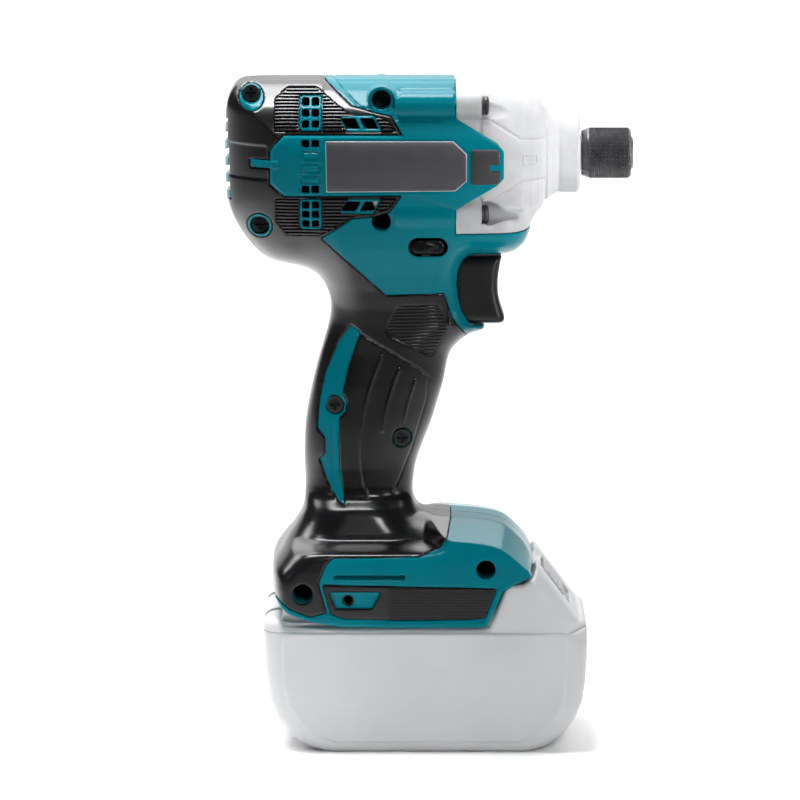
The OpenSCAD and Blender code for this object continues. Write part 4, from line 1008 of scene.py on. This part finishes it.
# trigger
front = [(26.3, 176.4), (25.6, 173), (25.0, 168.6), (24.9, 164.6), (25.3, 160.6), (26.3, 157), (27.25, 154.4)]
TRIG = Sheet2(fillet([tuple(p) for p in spline(front, 3, False)] + [(27.3, 153.2), (26.6, 152.25), (25, 151.95), (8.4, 151.9), (8.4, 176.2)], 0.35, 3),
              (4, 148), (32, 181), 0.15)


def trigger_field(x, y, z):
    f = smax(TRIG(x, z), np.abs(y) - 9.75, 3.4)
    f = np.maximum(f, -np.maximum(np.hypot(y, z - 164) - 2.5, x - 18))
    return f


P, Q = nets(trigger_field, (8, -10.2, 151.4), (28, 10.2, 177), 0.3)
make("trigger_blade", P, Q, M_BLACK, "trigger", ["trigger"], smooth=45)


# direction lever: pill-shaped push bar with a wedge on each end
WEDGE = Sheet2([(-1.6, 180.0), (4.0, 181.9), (-1.6, 183.8)], (-10, 176), (10, 188), 0.1)


def lever_field(x, y, z):
    a = np.abs(y)
    pill = np.hypot(x - np.clip(x, -3.9, 3.2), z - 181.8) - 2.87
    f = smax(pill, a - 22.7 - 0.45 * ramp(-WEDGE(x, z), -0.15, 0.5), 1.8)
    return np.minimum(f, box3(x, y, z, (-6, -1.6, 173), (-3, 1.6, 180)))


P, Q = nets(lever_field, (-7, -25.4, 172.6), (6.4, 25.4, 185), 0.28)
make("direction_lever", P, Q, M_GLOSS, "reverse", ["reverse_lever"], smooth=45)


def lens_field(x, y, z):
    f = smax(np.abs(y) - 4.6, np.abs(z - 183) - 2.0, 1.6)
    return smax(f, np.abs(x - 32.4) - 2.4 - 0.1 * np.cos(y * 5.2), 1.2)


P, Q = nets(lens_field, (29.8, -4.9, 180.7), (35.2, 4.9, 185.3), 0.2)
make("lamp_lens", P, Q, M_LENS, "tool", ["led_lens"], smooth=50)

# threaded sockets for a belt hook, one in each side of the foot
s = Soup()
prof = []
for k in range(9):
    prof += [(34.8 + k * 0.28, 1.62), (34.94 + k * 0.28, 1.8)]
prof += [(37.15, 1.75), (37.15, 2.55), (36.9, 2.65), (34.6, 2.65), (34.5, 2.5), (34.5, 1.7)]
ring = [np.array([(-29 + r * math.cos(t), yy, 56.2 + r * math.sin(t)) for yy, r in prof]) for t in np.arange(40) * 2 * math.pi / 40]
P, F = tube_rows(ring, True)
s.add(P, F)
s.add(P * (1, -1, 1), [q[::-1] for q in F])
make("hook_sockets", s.points(), s.F, M_OXIDE, "tool", ["hook_inserts"], smooth=50)

# rating plates (bare) and rubber pads on both sides
LABEL = fillet([(-36.6, 220), (8.5, 220), (13.1, 215.7), (13.1, 206.4), (9.2, 203.0), (-36.3, 202.6)], 0.5, 3)
BORDER = fillet([(-36.85, 220.25), (8.6, 220.25), (13.35, 215.8), (13.35, 206.3), (9.3, 202.75), (-36.55, 202.35)], 0.5, 3)
PADS = fillet([(15.0, 217.4), (24.2, 217.4), (25.1, 216.2), (25.2, 212.3), (21.6, 212.3), (21.6, 210), (25.2, 210), (25.1, 206.4), (24.4, 205.1), (15.0, 205.1)], 0.4, 3)


def both_sides(name, polys, mat, body, stands_for=(), smooth=40):
    s = Soup()
    for poly, top, bottom, bevel, crown in polys:
        P, F = plate(poly, top, bottom, bevel, 1.2, crown)
        s.add(P, F)
        s.add(P * (1, -1, 1), [q[::-1] for q in F])
    return make(name, s.points(), s.F, mat, body, stands_for, smooth)


both_sides("rating_plates", [(LABEL, 1.0, 0.7, 0.08, 0.0)], M_LABEL, "tool", ["side_labels"])
both_sides("rating_plate_edges", [(BORDER, 0.92, 0.55, 0.1, 0.0)], M_EDGE, "tool")
both_sides("side_rubber_pads", [(PADS, 1.45, 0.55, 0.35, 0.12)], M_PAD, "tool", ["side_pads"])

# pack
PACK_SIDE = [(-59.8, 60), (-59.8, 40), (-59.2, 28), (-57.8, 18), (-54.8, 11), (-49.5, 5.4), (-43, 1.6), (-35, 0), (34, 0), (42, 1.4), (48.5, 5.6), (53, 11.5),
             (55.6, 17.5), (56.6, 25), (57.2, 34), (57.2, 41), (57.2, 60)]
SIDE = Sheet2(PACK_SIDE, (-66, -6), (64, 62), 0.3)
NOSE = Sheet2([(21.7, 30), (21.7, 45.9), (24.6, 53), (27.2, 60), (28.4, 61.6), (33.4, 61.6), (37.4, 63.3), (38.6, 65.4), (39.2, 66), (43.7, 60.1), (54.7, 45.4),
               (57.2, 41), (57.2, 30)], (14, 26), (64, 72), 0.25)
PANEL_SIDE = Sheet2(fillet([(-52.4, 43.8), (-52.2, 26), (-50.6, 17.6), (-46.4, 11.2), (-41, 6.6), (-33, 4.0), (32, 4.0), (40, 6.6), (45.4, 11.6), (48.4, 18),
                            (49.4, 27), (49.6, 43.8)], 3.0, 5), (-66, -6), (64, 62), 0.3)
HOLLOW = Sheet2([(-54, 46), (-54, 41), (-52, 14), (-46.5, 5), (-40, 2.4), (37, 2.4), (43.6, 5), (49, 12), (52, 41), (52, 46)], (-66, -6), (64, 62), 0.3)
NOSE_IN = Sheet2([(30, 39), (30, 58), (37, 58.6), (50, 43), (52, 39)], (14, 26), (64, 72), 0.25)


def plan_dist(x, a, d=0.0, r=9.0):
    qx = np.abs(x + 1.3) - (58.7 - d - r)
    qy = a - (37.4 - d - r)
    return np.hypot(np.maximum(qx, 0), np.maximum(qy, 0)) + np.minimum(np.maximum(qx, qy), 0) - r


def pack_skin(x, a, z):
    """Outer skin below the deck: side walls with a raised panel, wide round ends, tighter bottom edges."""
    r = 2.6 + 5.6 * ramp(np.abs(x + 1.3), 36, 53)
    qx = SIDE(x, z) + r
    qy = a - (36.6 - r)
    f = np.hypot(np.maximum(qx, 0), np.maximum(qy, 0)) + np.minimum(np.maximum(qx, qy), 0) - r
    return f - 0.8 * ramp(-PANEL_SIDE(x, z), -0.5, 0.35) * ramp(a, 30, 33)


def bevel(x, a, z):
    """Distance outside the slanted bevel on each front corner."""
    return 0.7435 * x + 0.364 * a + 0.56 * z - 75.66


def lower_field(x, y, z):
    a = np.abs(y)
    sk = pack_skin(x, a, z)
    f = smax(smax(sk, z - 43.85, 0.2), bevel(x, a, z) - 0.2, 1.2)
    return np.maximum(f, -np.maximum.reduce([HOLLOW(x, z), a - 35, sk + 1.7, bevel(x, a, z) + 2.2]))


SLOPE = math.radians(53)


def slope_local(x, z):
    """Coordinates along and out of the slanted front face."""
    dx, dz = x - 46.9, z - 55.9
    return dx * math.cos(SLOPE) - dz * math.sin(SLOPE), dx * math.sin(SLOPE) + dz * math.cos(SLOPE)


def upper_field(x, y, z):
    a = np.abs(y)
    skin = pack_skin(x, a, z)
    deck = smax(smax(skin, z - 45.9 - 2.6 * ramp(-x, 51, 54), 2.5 + 3 * ramp(-x, 40, 58)), 43.9 - z, 0.2)
    deck = smax(deck, bevel(x, a, z) - 0.2, 1.2)
    block = smax(smax(np.maximum(plan_dist(x, a, 0.1), x - 24), a - 33.8, 1.2), np.maximum(z - 52.8, 44 - z), 2.0)
    block = smax(block, -52.5 - x, 1.5)
    block = np.maximum(block, -np.maximum(np.maximum(31.2 - a, x - 20.4), np.abs(z - 48.5) - 1.3))
    f = np.minimum(deck, block)
    f = np.maximum(f, -box3(x, a, z, (-54.4, -1, 39), (22, 31.8, 45.2)))
    f = np.maximum(f, -box3(x, a, z, (-50.4, -1, 42), (20, 29, 50.6)))
    nose = smax(smax(plan_dist(x, a, 0.45, 8.0), NOSE(x, z), 2.0), bevel(x, a, z), 1.2)
    nose = np.maximum(nose, 43.9 - z)
    f = smin(f, nose, 0.5)
    f = np.maximum(f, -np.maximum(np.maximum(plan_dist(x, a, 2.9), NOSE_IN(x, z)), bevel(x, a, z) + 2.2))
    f = np.maximum(f, -np.maximum(np.abs(a - 15) - 2.2, np.maximum(x + 22, 44 - z)))
    u, w = slope_local(x, z)
    pocket = np.maximum(np.maximum(np.abs(u) - 8.3, a - 13.4), -1.6 - w)
    # finger dish above the button
    dish = np.hypot(np.hypot(u + 13.2, np.maximum(a - 7, 0)), w - 4.6) - 7.0
    f = smax(f, -dish, 1.0)
    return smax(f, -pocket, 0.5)


P, Q = nets(lower_field, (-60.5, -38, -0.5), (58, 38, 44.4), 0.75)
make("pack_lower_shell", P, Q, M_PALE, "pack", ["battery_lower_case"], smooth=35)
P, Q = nets(upper_field, (-60.5, -38, 43.4), (58, 38, 67), 0.55)
make("pack_upper_shell", P, Q, M_PALE, "pack", ["battery_upper_case"], smooth=35)


def button_field(x, y, z):
    a = np.abs(y)
    u, w = slope_local(x, z)
    qu, qa = np.abs(u + 2.15) - 4.25, a - 11.5
    f = np.hypot(np.maximum(qu, 0), np.maximum(qa, 0)) + np.minimum(np.maximum(qu, qa), 0) - 1.5
    top = 0.3 + 0.45 * np.maximum(np.cos((u + 5.8) * 2 * math.pi / 2.4), 0) * ramp(-a, -11.6, -10.4) * ramp(-np.abs(u + 2.2), -4.9, -4.4)
    return smax(f, np.maximum(w - top, -1.25 - w), 0.5)


P, Q = nets(button_field, (36, -13.5, 50), (54, 13.5, 64), 0.28)
make("release_key", P, Q, M_PALE2, "release", ["release_button"], smooth=45)

# ------------------------------------------------------------------ stage, light and camera
def white(name, v, rough=0.9):
    m = bpy.data.materials.new(name)
    m.use_nodes = True
    b = m.node_tree.nodes["Principled BSDF"]
    b.inputs["Base Color"].default_value = (v, v, v, 1)
    b.inputs["Roughness"].default_value = rough
    b.inputs["Specular IOR Level"].default_value = 0.1
    return m


me = bpy.data.meshes.new("floor")
me.from_pydata([(-8, -5, 0), (8, -5, 0), (8, 9, 0), (-8, 9, 0)], [], [(0, 1, 2, 3)])
floor = bpy.data.objects.new("floor", me)
bpy.context.scene.collection.objects.link(floor)
me.materials.append(white("floor_white", 0.92))

world = bpy.data.worlds.new("studio")
bpy.context.scene.world = world
world.use_nodes = True
world.node_tree.nodes["Background"].inputs["Color"].default_value = (1, 1, 1, 1)
world.node_tree.nodes["Background"].inputs["Strength"].default_value = 0.04


def lamp(name, loc, aim, size, power, size_y=None, spread=180):
    d = bpy.data.lights.new(name, "AREA")
    d.energy = power
    d.spread = math.radians(spread)
    d.size = size
    if size_y:
        d.shape = "RECTANGLE"
        d.size_y = size_y
    o = bpy.data.objects.new(name, d)
    o.location = loc
    o.rotation_mode = "QUATERNION"
    o.rotation_quaternion = (Vector(aim) - Vector(loc)).to_track_quat("-Z", "Y")
    bpy.context.scene.collection.objects.link(o)


lamp("back_sky", (0, 4.6, 3.0), (0, 4.6, 0), 7.0, 380, 6.0)
lamp("back_wall", (0, 7.6, 1.25), (0, 0, 1.25), 9.0, 65, 2.5)
lamp("back_wash", (0, 1.15, 1.9), (0, 1.15, 0), 2.6, 14, 0.8, 120)
lamp("back_left", (-1.2, 0.7, 1.1), (-0.05, 0, 0.15), 0.6, 0.75, 0.6, 60)
lamp("top_softbox", (-0.25, 0.045, 0.74), (-0.25, 0.045, 0), 0.56, 2.7, 0.33, 64)
lamp("key_right", (1.5, -1.3, 1.0), (0, 0, 0.13), 0.5, 0.14, 0.7, 18)
lamp("key_left", (-1.5, -1.3, 1.0), (0, 0, 0.13), 0.5, 0.045, 0.7, 18)
lamp("side_right", (1.9, -0.4, 0.5), (0, 0, 0.13), 0.5, 0.1, 0.7, 18)
lamp("nose_fill", (0.62, -0.62, 0.24), (0.06, -0.02, 0.21), 0.06, 0.024, 0.06, 6)
lamp("front_fill", (0.5, -1.6, 1.4), (0, 0, 0.14), 0.5, 0.3, 0.5, 14)

cam = bpy.data.cameras.new("camera")
cam.sensor_width = 36
cam.lens = 247.93
cam.clip_start, cam.clip_end = 0.05, 40
co = bpy.data.objects.new("camera", cam)
E = math.radians(9.5)
TGT = Vector((-0.01035, 0, 0.12264))
co.location = TGT + Vector((0, -math.cos(E), math.sin(E))) * 2.0
co.rotation_mode = "QUATERNION"
co.rotation_quaternion = (TGT - co.location).to_track_quat("-Z", "Y")
bpy.context.scene.collection.objects.link(co)
bpy.context.scene.camera = co
bpy.context.scene.view_settings.view_transform = "Standard"
